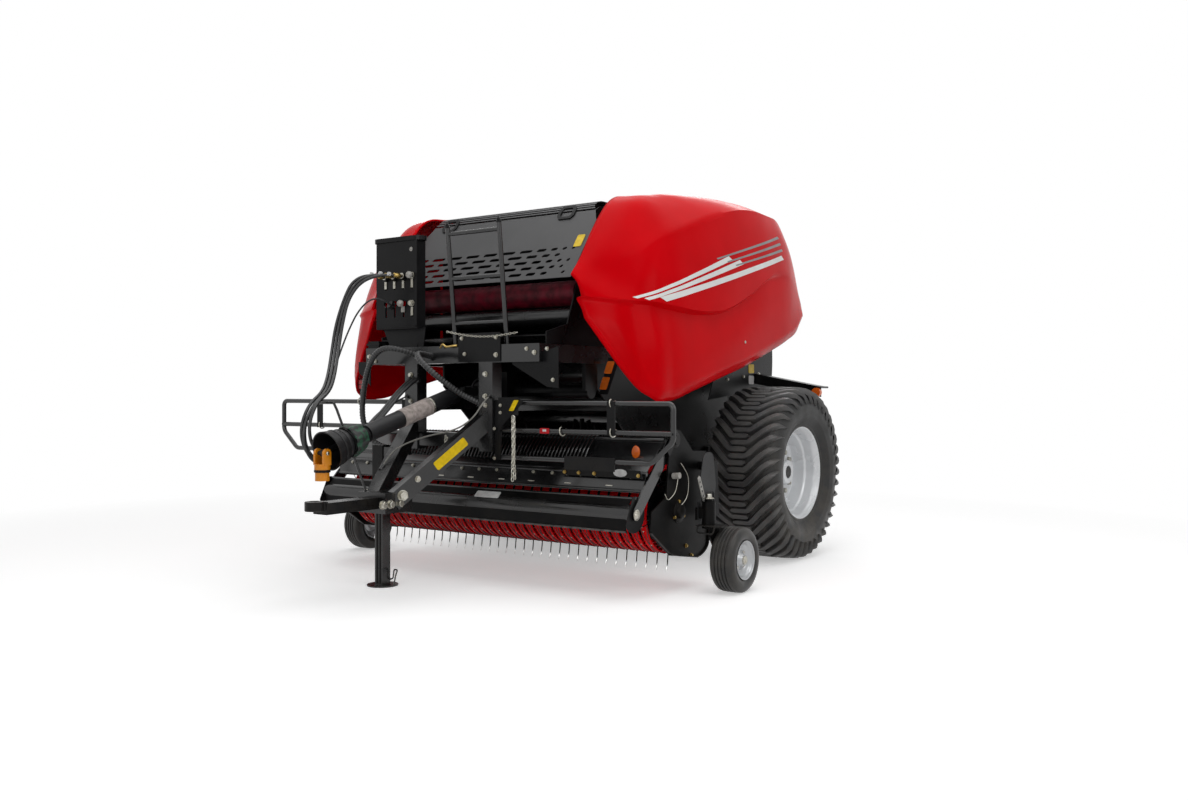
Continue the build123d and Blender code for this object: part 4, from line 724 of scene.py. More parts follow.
# each row: hinge edge, crown, ridge, flank, lip, fold below it, lower flank, bottom edge: x and z
PANEL = np.reshape((
    745, 1770, 762, 1752, 785, 1728, 800, 1690, 815, 1640, 812, 1622, 845, 1570, 862, 1520,
    740, 1853, 795, 1825, 850, 1765, 930, 1690, 1010, 1620, 1000, 1598, 1045, 1400, 1075, 1210,
    738, 2025, 890, 1975, 1010, 1875, 1080, 1750, 1128, 1612, 1110, 1588, 1150, 1350, 1168, 1082,
    742, 2228, 930, 2180, 1090, 1990, 1150, 1800, 1178, 1598, 1152, 1572, 1182, 1350, 1180, 1066,
    755, 2290, 950, 2270, 1128, 2085, 1180, 1850, 1202, 1583, 1172, 1555, 1195, 1350, 1186, 1120,
    765, 2330, 960, 2320, 1147, 2180, 1195, 1900, 1212, 1608, 1184, 1578, 1200, 1380, 1188, 1192,
    770, 2348, 970, 2346, 1148, 2262, 1195, 1990, 1200, 1722, 1184, 1690, 1195, 1500, 1180, 1270,
    775, 2343, 970, 2343, 1128, 2278, 1180, 2060, 1184, 1870, 1180, 1845, 1180, 1600, 1165, 1362,
    790, 2290, 960, 2286, 1075, 2238, 1130, 2090, 1150, 1900, 1150, 1870, 1155, 1650, 1148, 1462,
    830, 2130, 950, 2120, 1040, 2070, 1085, 1970, 1105, 1850, 1110, 1810, 1120, 1680, 1130, 1532,
    900, 1850, 960, 1840, 1030, 1815, 1065, 1780, 1085, 1740, 1090, 1710, 1100, 1660, 1105, 1600,
), (11, 8, 2)) / 1000
RIDGE, LIP, FOLD, BOTTOM = 2, 4, 5, 7
# the painted shell's fold is drawn a little deeper and tighter than the solid's
PANEL[2:8, FOLD] += (-0.012, 0.006)
# share of the ridge's bend that falls within its two nearest strips
RIDGE_BEND = 0.4
SHELL_T = 0.012
PANEL_HINGES = (-1100, -150)


def hermite(t, a, b, slope_a, slope_b):
    """Cubic from a at t = 0 to b at t = 1 with the given end slopes."""
    ends = (2 * t**3 - 3 * t**2 + 1) * a + (3 * t**2 - 2 * t**3) * b
    return ends + (t**3 - 2 * t**2 + t) * slope_a + (t**3 - t**2) * slope_b


def shell(u, y):
    """Skin point at u across the eight lines and at y: cubics through the stations, then across
    the lines, in one run from the hinge edge to the lip and one from the fold to the bottom."""
    slope = np.gradient(PANEL, PANEL_Y, axis=0)
    i = np.clip(np.searchsorted(PANEL_Y, y) - 1, 0, len(PANEL_Y) - 2)
    span = (PANEL_Y[i + 1] - PANEL_Y[i])[:, None, None]
    t = (y - PANEL_Y[i])[:, None, None] / span
    lines = hermite(t, PANEL[i], PANEL[i + 1], span * slope[i], span * slope[i + 1])
    upper = np.gradient(lines[:, : LIP + 1], axis=1)
    lower = np.gradient(lines[:, FOLD:], axis=1)
    step = (lines[:, FOLD] - lines[:, LIP])[:, None]
    leave = np.concatenate((upper[:, :-1], step, lower[:, :-1]), axis=1)
    arrive = np.concatenate((upper[:, 1:], step, lower[:, 1:]), axis=1)
    # at the ridge the run across changes its slope within a narrow bend
    jump = RIDGE_BEND * (lines[:, RIDGE + 1] - 2 * lines[:, RIDGE] + lines[:, RIDGE - 1])
    leave[:, RIDGE] += jump
    arrive[:, RIDGE - 1] -= jump
    k = np.clip(np.floor(u).astype(int), 0, BOTTOM - 1)
    n = np.arange(len(u))
    x, z = hermite((u - k)[:, None], lines[n, k], lines[n, k + 1], leave[n, k], arrive[n, k]).T
    return np.stack((x, y, z), axis=1)


strips = ((0, LIP, 33), (LIP, FOLD, 4), (FOLD, BOTTOM, 26))
across = np.r_[0, np.concatenate([np.linspace(*strip)[1:] for strip in strips])]
back = np.linspace(PANEL_Y[0], PANEL_Y[-1], 180)
u, y = [a.ravel() for a in np.meshgrid(across, back)]
skin = shell(u, y)
# the crown is eased by a few millimetres, to the height of the frame's own panel
skin[:, 2] -= 0.009 * np.clip((skin[:, 2] - 2.2) / 0.15, 0, 1)
# the lower front edge is turned in: x drops by up to EDGE_IN within EDGE_W of that edge
EDGE_W = 0.055
EDGE_IN = 0.028
nose = shell(np.linspace(LIP, BOTTOM, 30), np.full(30, PANEL_Y[0]))
rim = np.concatenate((nose, shell(np.full(len(back), float(BOTTOM)), back)))
near = np.sqrt(((skin[:, None, 1:] - rim[None, :, 1:]) ** 2).sum(2)).min(1)
skin[:, 0] -= EDGE_IN * np.clip(1 - near / EDGE_W, 0, 1) * (u > LIP)

gelcoat = FINISHES["red_panel"]
white_film = coated("white_vinyl_stripe", "#F2F2F0", "#E6E6E4", (0.3, 0.4), skin=0.02)
grey_film = coated("grey_vinyl_stripe", "#8E8E90", "#7E7E80", (0.3, 0.4), skin=0.02)


def on_shell(y, z, lift=0.0025):
    """Points on the flank at y and z, found by halving the span of u, and lifted off the skin."""
    low, high = np.full(len(y), 1.2), np.full(len(y), float(BOTTOM))
    for _ in range(24):
        middle = (low + high) / 2
        above = shell(middle, y)[:, 2] > z
        low, high = np.where(above, middle, low), np.where(above, high, middle)
    return shell(low, y) + (lift, 0, 0)


# start and end of each bar's middle line in y from the axle and z, and its half width at both ends
BARS = (
    ((-1.742, 1.628), (-0.86, 1.925), 0.004, 0.010, white_film),
    ((-1.690, 1.622), (-0.72, 1.915), 0.005, 0.011, white_film),
    ((-1.585, 1.626), (-0.06, 2.012), 0.011, 0.011, white_film),
    ((-1.020, 1.905), (-0.10, 2.142), 0.003, 0.006, grey_film),
    ((-0.900, 1.898), (-0.08, 2.102), 0.003, 0.006, grey_film),
    ((-0.800, 1.886), (-0.06, 2.062), 0.003, 0.006, grey_film),
)
# run of the slanting cut at a bar's ends, to its half width
BAR_CUT = 2.2
SCREW = (AXLE_Y - 0.663, 1.424)
for side, s in SIDES:
    body = f"side_panel_{side}"
    skins = [(skin * (s, 1, 1), weave(len(back), len(across)))]
    panel = piece_of(
        f"panel_shell_{side}", skins, gelcoat, body, replaces=[body], slot="red_panel"
    )
    thicken(panel, SHELL_T)
    face_out(panel, (s, 0, 0))
    for k, (start, end, thin, wide, film) in enumerate(BARS):
        t, w = np.meshgrid(np.linspace(0, 1, 150), (-1, -0.5, 0, 0.5, 1), indexing="ij")
        t, w = t.ravel(), w.ravel()
        half = thin + t * (wide - thin)
        run_y = AXLE_Y + start[0] + t * (end[0] - start[0]) - w * BAR_CUT * half
        run_z = start[1] + t * (end[1] - start[1]) + w * half
        spots = on_shell(run_y, run_z) * (s, 1, 1)
        bar = piece_of(f"stripe_{side}_{k}", [(spots, weave(150, 5))], film, body)
        face_out(bar, (s, 0, 0))
    arms = []
    for y in PANEL_HINGES:
        z = 1000 * np.interp(AXLE_Y + y / 1000, back, skin[:: len(across), 2]) - 4
        outline = [(718, 2248), (762, 2248), (850, z), (774, z), (718, 2292)]
        arms.append(slab([(s * x, h) for x, h in outline], y - 6, y + 6, 1))
    flat_piece(f"panel_hinges_{side}", arms, black_paint, body)
    place = 1000 * (on_shell(*np.array(SCREW)[:, None], 0.0)[0] - (0, AXLE_Y, 0)) * (s, 1, 1)
    screw = lathe([(-2, 9), (3, 9), (5, 6), (5.5, 1)], place, (s, 0, 0), 12)
    piece_of(f"panel_screw_{side}", [screw], zinc, body)

# ---- hose box's fittings
# A pressed cap closes the box's top; zinc plated quick couplers stand in its keyholes, those
# with no hose under pale dust caps, and a blank round plate is riveted above them.
BOX_X = -396
BOX_FRONT = -2085
CAP_R = 45
FRONT = (0, -1, 0)
pale_plastic = coated("pale_grey_dust_cap", "#A9A7A2", "#8F8C86", (0.35, 0.5), patch_mm=15)
brass = coated(
    "yellow_passivated_steel", "#B49A5A", "#9A8048", (0.28, 0.42), metal=0.9, patch_mm=15,
    skin=0.05,
)
turn = np.linspace(-1.57, 1.57, 9)
ends = [
    np.c_[BOX_X + s * (153 + CAP_R * np.cos(turn)), s * CAP_R * np.sin(turn) - 2051]
    for s in (1, -1)
]
box_parts = [
    slab(np.concatenate(ends), 2012, 2038, 2),
    slab([(-242, 2012), (-222, 2012), (-222, 1500), (-242, 1530)], -2092, -2085, 1),
    block(-560, -232, -2090, -2084, 1500, 1512),
    slab([(-262, 1345), (-218, 1345), (-196, 1500), (-238, 1500)], -2046, -2040, 1),
]
flat_piece("box_cap", box_parts, black_paint)
SOCKET = [(0, 19), (4, 19), (5, 15), (9, 15), (10, 17), (16, 17), (17, 14), (24, 14), (25, 6)]
KEYHOLES = (-483.5, -410.5, -337.5, -264.5)
UPPER_ROW, LOWER_ROW = 1804, 1639
couplers = []
for x, z in (*[(x, UPPER_ROW) for x in KEYHOLES], (KEYHOLES[3], LOWER_ROW)):
    socket = SOCKET if x == KEYHOLES[3] else SOCKET[:7]
    couplers.append(lathe(socket, (x, BOX_FRONT - 1, z), FRONT, 18))
    couplers.append(block(x - 9, x + 9, -2090, -2086, z - 72, z - 22))
cap = [(0, 20), (14, 20), (20, 16), (24, 8)]
capped = ((KEYHOLES[3], UPPER_ROW), (KEYHOLES[2], LOWER_ROW))
dust_caps = [lathe(cap, (x, BOX_FRONT - 20, z), FRONT, 18) for x, z in capped]
dust_caps.append(block(-351, -324, -2092, -2087, 1588, 1622))
dust_caps.append(lathe([(0, 13), (1.5, 13), (2, 12)], (-275, BOX_FRONT - 0.2, 1959), FRONT, 24))
ferrules, ties = [], []
for *_, corners in CORDS[:3]:
    first, ahead = np.array(corners[0], float), unit(np.subtract(corners[1], corners[0]))
    sleeve = [(16, 13), (20, 15), (40, 15), (44, 13), (60, 12), (62, 10.5)]
    ferrules.append(lathe(sleeve, first, ahead, 16))
    tie = [(0, 10.5), (1, 11.2), (6, 11.2), (7, 10.5)]
    ties += [lathe(tie, first + reach * ahead, ahead, 14) for reach in (86, 96)]
piece_of("quick_couplers", couplers, zinc)
piece_of("dust_caps", dust_caps, pale_plastic)
piece_of("hose_ferrules", ferrules, brass)
piece_of("hose_ties", ties, white_vinyl)

# ---- ladder's plugs
# The ladder's two stiles are steel tube, cut square; a pointed plug of moulded black polyamide
# is knocked into each open end.
STILE = (0, -74, 680)
plug = [(-3, 14.6), (2, 14.8), (14, 12), (24, 8), (30, 1)]
plugs = [lathe(plug, (x, -2080, 2060), STILE, 16) for x in (10, 395)]
piece_of("ladder_plugs", plugs, moulded)

# ---- bolts and rivets
# Zinc plated hexagon bolts on round washers hold the frame's beam, posts, gussets and straps
# together; their heads face the front.
def bolt(place, ahead, across_flats=19):
    """A hexagonal head on a washer, in millimetres."""
    r = across_flats / 3**0.5
    head = [(2, r), (0.62 * across_flats, r), (0.68 * across_flats, 0.84 * r)]
    washer = [(0, 1.25 * r), (2.2, 1.25 * r)]
    return [lathe(washer, place, ahead, 16), lathe(head, place, ahead, 6)]


# face that they stand on: x, z and size across flats of each bolt
FRAME_BOLTS = {
    -2076: ((118, 1420, 16), (372, 1420, 16), (372, 1322, 19), (140, 1330, 16)),
    -2070.5: (
        (290, 1215, 22), (290, 1090, 22), (290, 1040, 19), (-290, 1215, 22), (-290, 1060, 19),
    ),
    -2036: ((520, 1320, 16), (700, 1350, 16), (740, 1180, 16)),
    -2071: (
        (400, 1040, 13), (400, 1000, 13), (640, 1330, 19), (-640, 1330, 19), (586, 1352, 16),
        (-586, 1300, 16), (357, 910, 13), (357, 745, 13), (-357, 910, 13),
    ),
}
heads = []
for y, row in FRAME_BOLTS.items():
    for x, z, size in row:
        heads += bolt((x, y, z), FRONT, size)
flat_piece("frame_bolts", heads, zinc)

# ---- front frame's plates
# Laser cut steel plates, bolted or welded over the beam and posts: the tray's front plate, the
# gussets on either side, the rails' flat straps, and the small box beside the hose box.
front_plates = [
    slab([(456, 1283), (776, 1362), (776, 1136), (700, 1142), (456, 1268)], -2036, -2031, 1),
    slab([(-776, 1300), (-670, 1300), (-670, 1150), (-776, 1240)], -2036, -2031, 1),
    slab([(384, 1085), (520, 1085), (560, 1060), (384, 900)], -2071, -2066, 1),
    slab([(384, 900), (470, 985), (470, 1085), (384, 1085)], -2066, -2000, 1),
    slab([(640, 1100), (700, 1100), (780, 1300), (705, 1318)], -1452, -1448, 1),
]
front_plates += [block(*planes) for planes in (
    (90, 402, -2076, -2071, 1285, 1448), (342, 384, -2052, -2046, 736, 1070),
    (-384, -342, -2052, -2046, 736, 1070), (1098, 1148, -2046, -2040, 888, 1066),
    (-1148, -1098, -2046, -2040, 888, 1066), (822, 1145, -2046, -2040, 700, 772),
    (-700, -590, -2040, -1972, 1372, 1384), (-700, -590, -2040, -1972, 1400, 1412),
    (-690, -600, -2034, -1976, 1345, 1425),
)]
flat_piece("front_plates", front_plates, black_paint)
orange_labels = [
    label((x, -1452.5, z), (1, 0, -0.05), (0.37, 0, 1), 52, 78)
    for x, z in ((679, 1165), (712, 1258))
]
flat_piece("orange_labels", orange_labels, orange_vinyl)

# ---- drive line in front
# The gearbox carries a black polythene bell round its input shaft.  The drive shaft's guard tube
# has a faded paper sleeve, its bell a mottled green rubber collar, and the yoke a dark ring.
SHAFT_TILT = np.radians(16.5)
SHAFT_DOWN = np.array((0, -np.cos(SHAFT_TILT), -np.sin(SHAFT_TILT)))
SHAFT_TOP = np.array((0, -1930, 1120))
bell = [
    (0, 62), (6, 78), (18, 84), (24, 84), (26, 78), (60, 80), (66, 86), (72, 86), (74, 80),
    (104, 82), (108, 70), (80, 66),
]
piece_of("gearbox_bell", [lathe(bell, (0, -1672, 1120), FRONT, 40)], moulded)
clip = lathe([(296, 49.5), (304, 51), (308, 49.5)], SHAFT_TOP, SHAFT_DOWN, 40)
piece_of("shaft_clip", [clip], zinc, "pto_tube")
paper = coated(
    "faded_paper_sleeve", "#B5A9A4", "#8D8580", (0.6, 0.8), shine=0.2, skin_mm=5, skin=0.25,
    patch_mm=24,
)
sleeve = lathe([(312, 48.4), (313, 50.2), (540, 50.2), (541, 48.4)], SHAFT_TOP, SHAFT_DOWN, 48)
piece_of("paper_sleeve", [sleeve], paper, "pto_tube")

mottled = blank("mottled_green_rubber")
patches = between(mottled, blotches(mottled, 26, 2.0, 5.2), 0.0, 1.0)
step = add(mottled, "Math", {"operation": "GREATER_THAN"}, i0=patches, i1=0.5)[0]
green = add(mottled, "Mix", RGBA, i0=step, i6=linear("#101211"), i7=linear("#12402A"))[2]
creases = blotches(mottled, 14, 4.0, 2.0)
creased = add(mottled, "Bump", Strength=0.4, Distance=0.003, Height=creases)[0]
finish(mottled, Base_Color=green, Roughness=0.6, Normal=creased)
# the collar's radius swells and pinches round its length, in 8 waves crossed by 13 small ones
turn = np.linspace(0, 2 * np.pi, 97)[:-1]
COLLAR = (
    (838, 52), (842, 66), (860, 74), (880, 78), (900, 82), (920, 85), (936, 86), (940, 80),
    (936, 76), (900, 70), (860, 64), (842, 52),
)
along, radius = np.array(COLLAR, float).T[:, :, None]
wave = 1 + 0.035 * np.sin(8 * turn + 0.02 * along) + 0.02 * np.sin(13 * turn)
ring = np.c_[np.cos(turn), np.sin(turn) * SHAFT_DOWN[2], -np.sin(turn) * SHAFT_DOWN[1]]
points = SHAFT_TOP + along[:, :, None] * SHAFT_DOWN + (radius * wave)[:, :, None] * ring
collar = (along_axle(points.reshape(-1, 3)), weave(12, 96, True, loop=True))
piece_of("bell_collar", [collar], mottled, "pto_cone")
rings = [
    lathe([(k, 60 + 50 * (k - 860) / 220) for k in (a, a + 6)], SHAFT_TOP, SHAFT_DOWN, 48)
    for a in (900, 950)
]
piece_of("bell_rings", rings, moulded, "pto_cone")
tip = SHAFT_TOP + SHAFT_DOWN * 1110
yoke_ring = lathe([(82, 36), (84, 41.5), (96, 41.5), (98, 36)], tip, (0, 0, -1), 40)
piece_of("yoke_ring", [yoke_ring], moulded, "pto_yoke")
pins = [lathe([(0, 10), (3, 10), (5, 7)], tip + (s * 40, 0, 0), (s, 0, 0)) for s in (1, -1)]
piece_of("yoke_caps", pins, zinc, "pto_yoke")

# ---- hitch and jack
# The tow tongue is bolted through the nose with three big bolts a side; the drawbar's beams end
# in a pin.  The jack's leg has two guide strips up its face and a wire handle at its foot.
hitch_bolts = []
for s in (1, -1):
    for y in (-2680, -2625, -2560):
        hitch_bolts += bolt((s * 105.5, y, 520), (s, 0, 0), 34)
    for reach, rise, size in ((60, 0, 42), (170, 18, 24)):
        place = BEAM_FOOT + reach * beam_run + BEAM_HALF * beam_out + (0, 0, rise)
        hitch_bolts += bolt(place * (s, 1, 1), beam_out * (s, 1, 1), size)
flat_piece("hitch_bolts", hitch_bolts, zinc)
worn_steel = coated(
    "worn_forged_steel", "#5C5A58", "#3A3837", (0.35, 0.5), metal=0.9, skin_mm=4, skin=0.2,
    patch_mm=40,
)
ring = [(-24, 27), (-24, 47), (24, 47), (24, 27), (22, 25.2), (-22, 25.2)]
piece_of("tow_ring_face", [lathe(ring, (0, -3045, 540), (0, 0, 1), 48)], worn_steel)
guides = [block(x, x + 12, -2324.5, -2320.5, 14, 690) for x in (-318, -294)]
flat_piece("jack_guides", guides, black_paint, "jack_leg")
handle = (
    (-270, -2262, 34), (-246, -2260, 40), (-244, -2254, 92), (-214, -2256, 92),
    (-210, -2276, 60), (-214, -2286, 8),
)
piece_of("jack_handle", [rod(rounded(handle, 12), 4.5)], worn_steel, "jack_leg")
jack_pin = [
    lathe([(0, 9), (14, 9), (18, 6)], (-259, -2290, 560), X_AXIS),
    rod(rounded(((-252, -2290, 560), (-236, -2290, 560), (-236, -2290, 520)), 10), 3),
]
piece_of("jack_pin", jack_pin, zinc)

# ---- chains and clips
# Short galvanised chains keep pins and struts with the machine: oval wire links, each turned a
# quarter from the last.  Bent wire clips on the rails hold cables that aren't in use.
def chain(points, pitch, wire):
    """Oval links along a line in millimetres: each lies at the middle of its own stretch, its
    long way along the line, every other one turned by a quarter."""
    line = evenly(np.asarray(points, float), pitch)[1]
    turn = np.linspace(0, 2 * np.pi, 10, endpoint=False)[:, None]
    side = np.linspace(0, 2 * np.pi, 5, endpoint=False)[None, :, None]
    links = []
    for k, (a, b) in enumerate(zip(line, line[1:])):
        ahead = unit(b - a)
        across = unit(np.cross(ahead, (0.2, 1, 0.1)))
        third = np.cross(ahead, across)
        if k % 2:
            across, third = third, -across
        flat = 0.62 * pitch * np.cos(turn) * ahead + 0.36 * pitch * np.sin(turn) * across
        tube = unit(flat)[:, None] * np.cos(side) + third * np.sin(side)
        link = (a + b) / 2 + flat[:, None] + wire / 2 * tube
        links.append((along_axle(link.reshape(-1, 3)), weave(10, 5, True, loop=True)))
    return links


sag = np.linspace(0, 1, 30)
hung = np.c_[5 + 525 * sag, np.full(30, -2082), 1462 - 26 * np.sin(np.pi * sag) - 20 * sag]
links = chain(hung, 15, 3.4)
for points, pitch, wire in (
    (((484, -2066, 985), (487, -2069, 890), (490, -2070, 790), (486, -2072, 622)), 21, 6.5),
    (((496, -2070, 980), (500, -2074, 850), (497, -2072, 730), (503, -2070, 634)), 19, 6),
    (((60, -2150, 870), (66, -2160, 800), (58, -2166, 742)), 16, 4.5),
    (((78, -2156, 860), (84, -2166, 790), (80, -2170, 730)), 15, 4),
):
    links += chain(points, pitch, wire)
piece_of("chains", links, zinc)
hook = (
    (-38, -2086, 1370), (-10, -2100, 1392), (18, -2100, 1372), (60, -2092, 1378),
    (84, -2080, 1380),
)
piece_of("chain_hook", [rod(rounded(hook, 12), 6)], brass)
RAIL_Y = -2030
turn, drift = np.radians(np.linspace(100, 400, 18)), np.linspace(-6, 6, 18)
CLIPS = ((800, 903, 24), (1122, 1055, 22), (1126, 903, 24), (-760, 1055, 22), (-1120, 903, 22))
clips = [
    rod(np.c_[x + drift, RAIL_Y + r * np.cos(turn), z + r * np.sin(turn)], 3.2, 8)
    for x, z, r in CLIPS
]
piece_of("rail_clips", clips, zinc)
plug = [(0, 15), (6, 15), (10, 9)]
rail_plugs = [lathe(plug, (s * 1490, RAIL_Y, 903), (s, 0, 0)) for s in (1, -1)]
piece_of("rail_plugs", rail_plugs, moulded)


def oval(profile, x, y, z, stretch, steps=32):
    """A turned form that faces the front, drawn out along X to an oval."""
    points, faces = lathe(profile, (0, y, z), FRONT, steps)
    return points * (stretch, 1, 1) + (x / 1000, 0, 0), faces


reflector = oval([(0, 34), (6, 36), (12, 33), (14, 26)], 1063, -1706, 785, 0.7, 28)
piece_of("orange_reflector", [reflector], FINISHES["orange_lens"], "pickup")

# ---- pickup reel
# Five bars carry spring steel tines, wound from round wire: a coil at the bar and a finger that
# bends back near its tip, where the crop polishes it.  Discs join the bars to the shaft.
REEL = (-1500, 450)
PITCH = 68
TINES = 35
BAR_R = 150
# degrees round from the back, so that one row of tines hangs straight down
BAR_TURN = 48
# a tine: distance from the reel's axle, how far it is bent back, and the wire's radius
TINE = (
    (152, -10, 3.4), (158, -16, 3.4), (166, -10, 3.4), (172, -2, 3.4), (200, 0, 3.4),
    (250, 0, 3.4), (290, -1, 3.4), (318, -4, 3.4), (334.5, -9, 2.6),
)


def on_reel(radius, degrees):
    """y and z at this radius and angle about the reel's axle."""
    a = np.radians(degrees)
    return REEL[0] + radius * np.cos(a), REEL[1] + radius * np.sin(a)


def fingers(degrees):
    """One bar's tines: a bent wire turned about the reel's axle, then set at each pitch."""
    out, back, radius = np.array(TINE).T
    a = np.radians(degrees)
    y, z = out * np.cos(a) - back * np.sin(a), out * np.sin(a) + back * np.cos(a)
    points, faces = rod(np.c_[0 * y, REEL[0] + y, REEL[1] + z], radius, 6)
    spread = (np.arange(TINES) - (TINES - 1) / 2) * PITCH / 1000
    return [(points + (x, 0, 0), faces) for x in spread]


# the wire is polished where it lies more than 290 mm from the reel's axle
polished = blank("tine_wire_polished_at_tips")
place = add(polished, "TexCoord")["Object"]
from_axle = {"Location": (0, 1.5 - AXLE_Y, -0.45), "Scale": (0, 1, 1)}
centred = add(polished, "Mapping", Vector=place, **from_axle)[0]
reach = add(polished, "VectorMath", {"operation": "LENGTH"}, i0=centred)["Value"]
tip = add(polished, "MapRange", Value=reach, From_Min=0.296, From_Max=0.312)[0]
tint = add(polished, "Mix", RGBA, i0=tip, i6=linear("#1C1C1E"), i7=linear("#F0F0EE"))[2]
finish(polished, Base_Color=tint, Metallic=0.8, Roughness=0.34)
bars = []
for degrees in BAR_TURN + 72 * np.arange(5):
    bars += fingers(degrees)
    bar = [(-1165, 10), (-1164, 14), (1164, 14), (1165, 10)]
    bars.append(lathe(bar, (0, *on_reel(BAR_R, degrees)), X_AXIS, 14))
half_shaft = ((1225, 22), (1222, 25), (1180, 25), (1180, 45))
shaft = [(-x, r) for x, r in half_shaft] + [*half_shaft[::-1]]
bars.append(lathe(shaft, (0, *REEL), X_AXIS, 24))
disc = [(-4, 40), (-4, 162), (4, 162), (4, 40)]
bars += [lathe(disc, (x, *REEL), X_AXIS, 40) for x in (-1113, -375, 375, 1113)]
piece_of("tine_reel", bars, polished, "reel", replaces=["pickup_reel"], slot="spring_steel")

# ---- stripper bands
# Pressed steel bands, enamelled red, stand between the tines.  Thin dark rods cross over the
# front of each band: painted shadow, for the tines' shadows and reflections that cross the bands.
# Two small rivets sit at each band's face.
BAND_R = 236
shadow_rods, rivets = [], []
spread = np.linspace(-22, 22, 8)
for x in (np.arange(TINES - 1) - (TINES - 2) / 2) * PITCH:
    y, z = on_reel(BAND_R + 1, np.linspace(196, 262, 8))
    # two crossed dark rods on each band: painted shadow of the tines
    shadow_rods += [rod(np.c_[x + s * spread, y, z], 2.8, 5) for s in (1, -1)]
    for degrees, aside in ((204, -8), (228, 10)):
        y, z = on_reel(BAND_R, degrees)
        ahead = (0, y - REEL[0], z - REEL[1])
        rivets.append(lathe([(-1, 4.5), (1.5, 4.2), (3, 2)], (x + aside, y, z), ahead, 8))
piece_of("band_shadow_rods", shadow_rods, hose_rubber, "pickup")
piece_of("band_rivets", rivets, zinc, "pickup")

# ---- windguard
# Two flat arms carry a folded sheet in front of the roller and a rolled apron behind it, both of
# sheet steel, with round bars along their edges and a comb of bent wires.  The apron is in gloss
# black enamel; the folded sheet's upper fold is painted a light grey highlight and its lower fold
# is painted shade in a darker black.
enamel = coated(
    "gloss_black_enamel", "#0B0B0C", "#141415", (0.14, 0.24), shine=0.75, skin_mm=20, skin=0.05,
    patch_mm=420,
)
# Painted highlight: a light grey copy of the gloss black enamel, for the light that the cover's
# upper fold catches.
painted_highlight_grey = coated(
    "painted_highlight_grey_enamel", "#3C3C3E", "#565658", (0.12, 0.2), shine=1.0, skin_mm=30, skin=0.05,
    patch_mm=420,
)
ROLLER = (-1910, 467)


def bent(line, thick):
    """A folded sheet's section: the line, and a copy of it moved square by the thickness."""
    way = np.gradient(line, axis=0)
    away = np.c_[way[:, 1], -way[:, 0]] / np.linalg.norm(way, axis=1)[:, None]
    return np.concatenate((line, (line + thick * away)[::-1]))


def bar_along(half, radius, y, z, steps=18):
    """A round bar across the machine."""
    return lathe([(-half, radius), (half, radius)], (0, y, z), X_AXIS, steps)


apron_line = ((-1602, 846), (-1700, 764), (-1786, 684), (-1790, 668), (-1828, 590))
guard = [slab(bent(rounded(apron_line, 14), 4), -1182, 1182)]
for radius, y, z in ((10, -1790, 671), (10, -1829, 583), (13, -1606, 850), (9, -1896, 551)):
    guard.append(bar_along(1184, radius, y, z))
arm = ((-1512, 866), (-1562, 882), (-1942, 488), (-1932, 434), (-1884, 440), (-1510, 824))
guard += [slab(rounded(arm, 26), s * 1184, s * 1194) for s in (1, -1)]
piece_of("windguard_sheets", guard, enamel, "windguard", replaces=["windguard"], slot="black_paint")
# the cover's upper fold carries a painted highlight in light grey, its lower one painted shade in
# the darker black; its hem is bright
cover = rounded([(-1880, 553), (-1899, 556), (-1961, 484), (-1962, 388), (-1946, 376)], 9)
split = int(np.argmin(cover[:, 0] - 0.9 * cover[:, 1]))
upper, lower = [slab(bent(part, -4), -1160, 1160) for part in (cover[: split + 1], cover[split:])]
piece_of("cover_upper", [upper], painted_highlight_grey, "windguard")
piece_of("cover_lower", [lower], shade_darkened_black, "windguard")
piece_of("cover_hem", [bar_along(1160, 6, -1957, 380, 12)], worn_steel, "windguard")
comb = []
for x in np.linspace(-760, 740, 58):
    finger = ((x, -1752, 722), (x, -1716, 786), (x, -1640, 862), (x, -1604, 870))
    comb.append(rod(rounded(finger, 40), 4.5, 8))
piece_of("crop_fingers", comb, enamel, "windguard")
spots = (*np.linspace(-1080, 560, 13), 660, 757, 862, 1090)
heads = [h for x in spots for h in bolt((x, -1805, 655), (0, -0.91, 0.42), 14)]
flat_piece("apron_bolts", heads, zinc, "windguard")
slits = [
    slab([(x - 22, 603), (x + 22, 603), (x + 26, 608), (x - 18, 608)], -1826, -1821, 1)
    for x in (-760, -520, -280, -40, 200, 420, 680, 960)
]
flat_piece("apron_slits", slits, zinc, "windguard")
flap = slab([(636, 650), (1176, 650), (1162, 692), (650, 692)], -1822, -1817, 1)
flap = [flap, block(736, 1102, -1824, -1818, 700, 742)]
flat_piece("apron_flap", flap, black_paint, "windguard")
heads = [h for x in (660, 757, 862, 1150) for h in bolt((x, -1822, 666), FRONT, 15)]
flat_piece("flap_bolts", heads, brass, "windguard")
on_cover = np.array((190, -1934, 522)) - 1.5 * np.array((0, 0.70, -0.71))
guard_labels = [
    oval([(0, 21), (1.2, 21)], 1035, -1825, 676, 2.1),
    label(on_cover, X_AXIS, (0, 0.71, 0.70), 180, 46),
]
flat_piece("windguard_labels", guard_labels, white_vinyl, "windguard")
turn = np.radians((209, *range(216, 455, 6), 461))
disc = np.c_[ROLLER[0] + 97 * np.cos(turn), ROLLER[1] + 97 * np.sin(turn)]
discs = [slab(disc, s * 1180, s * 1183) for s in (1, -1)]
flat_piece("roller_end_plates", discs, moulded, "windguard")
hub = [(0, 30), (4, 30), (6, 22), (12, 20), (15, 8)]
hubs = [lathe(hub, (s * 1194, *ROLLER), (s, 0, 0), 24) for s in (1, -1)]
piece_of("roller_hubs", hubs, zinc, "windguard")

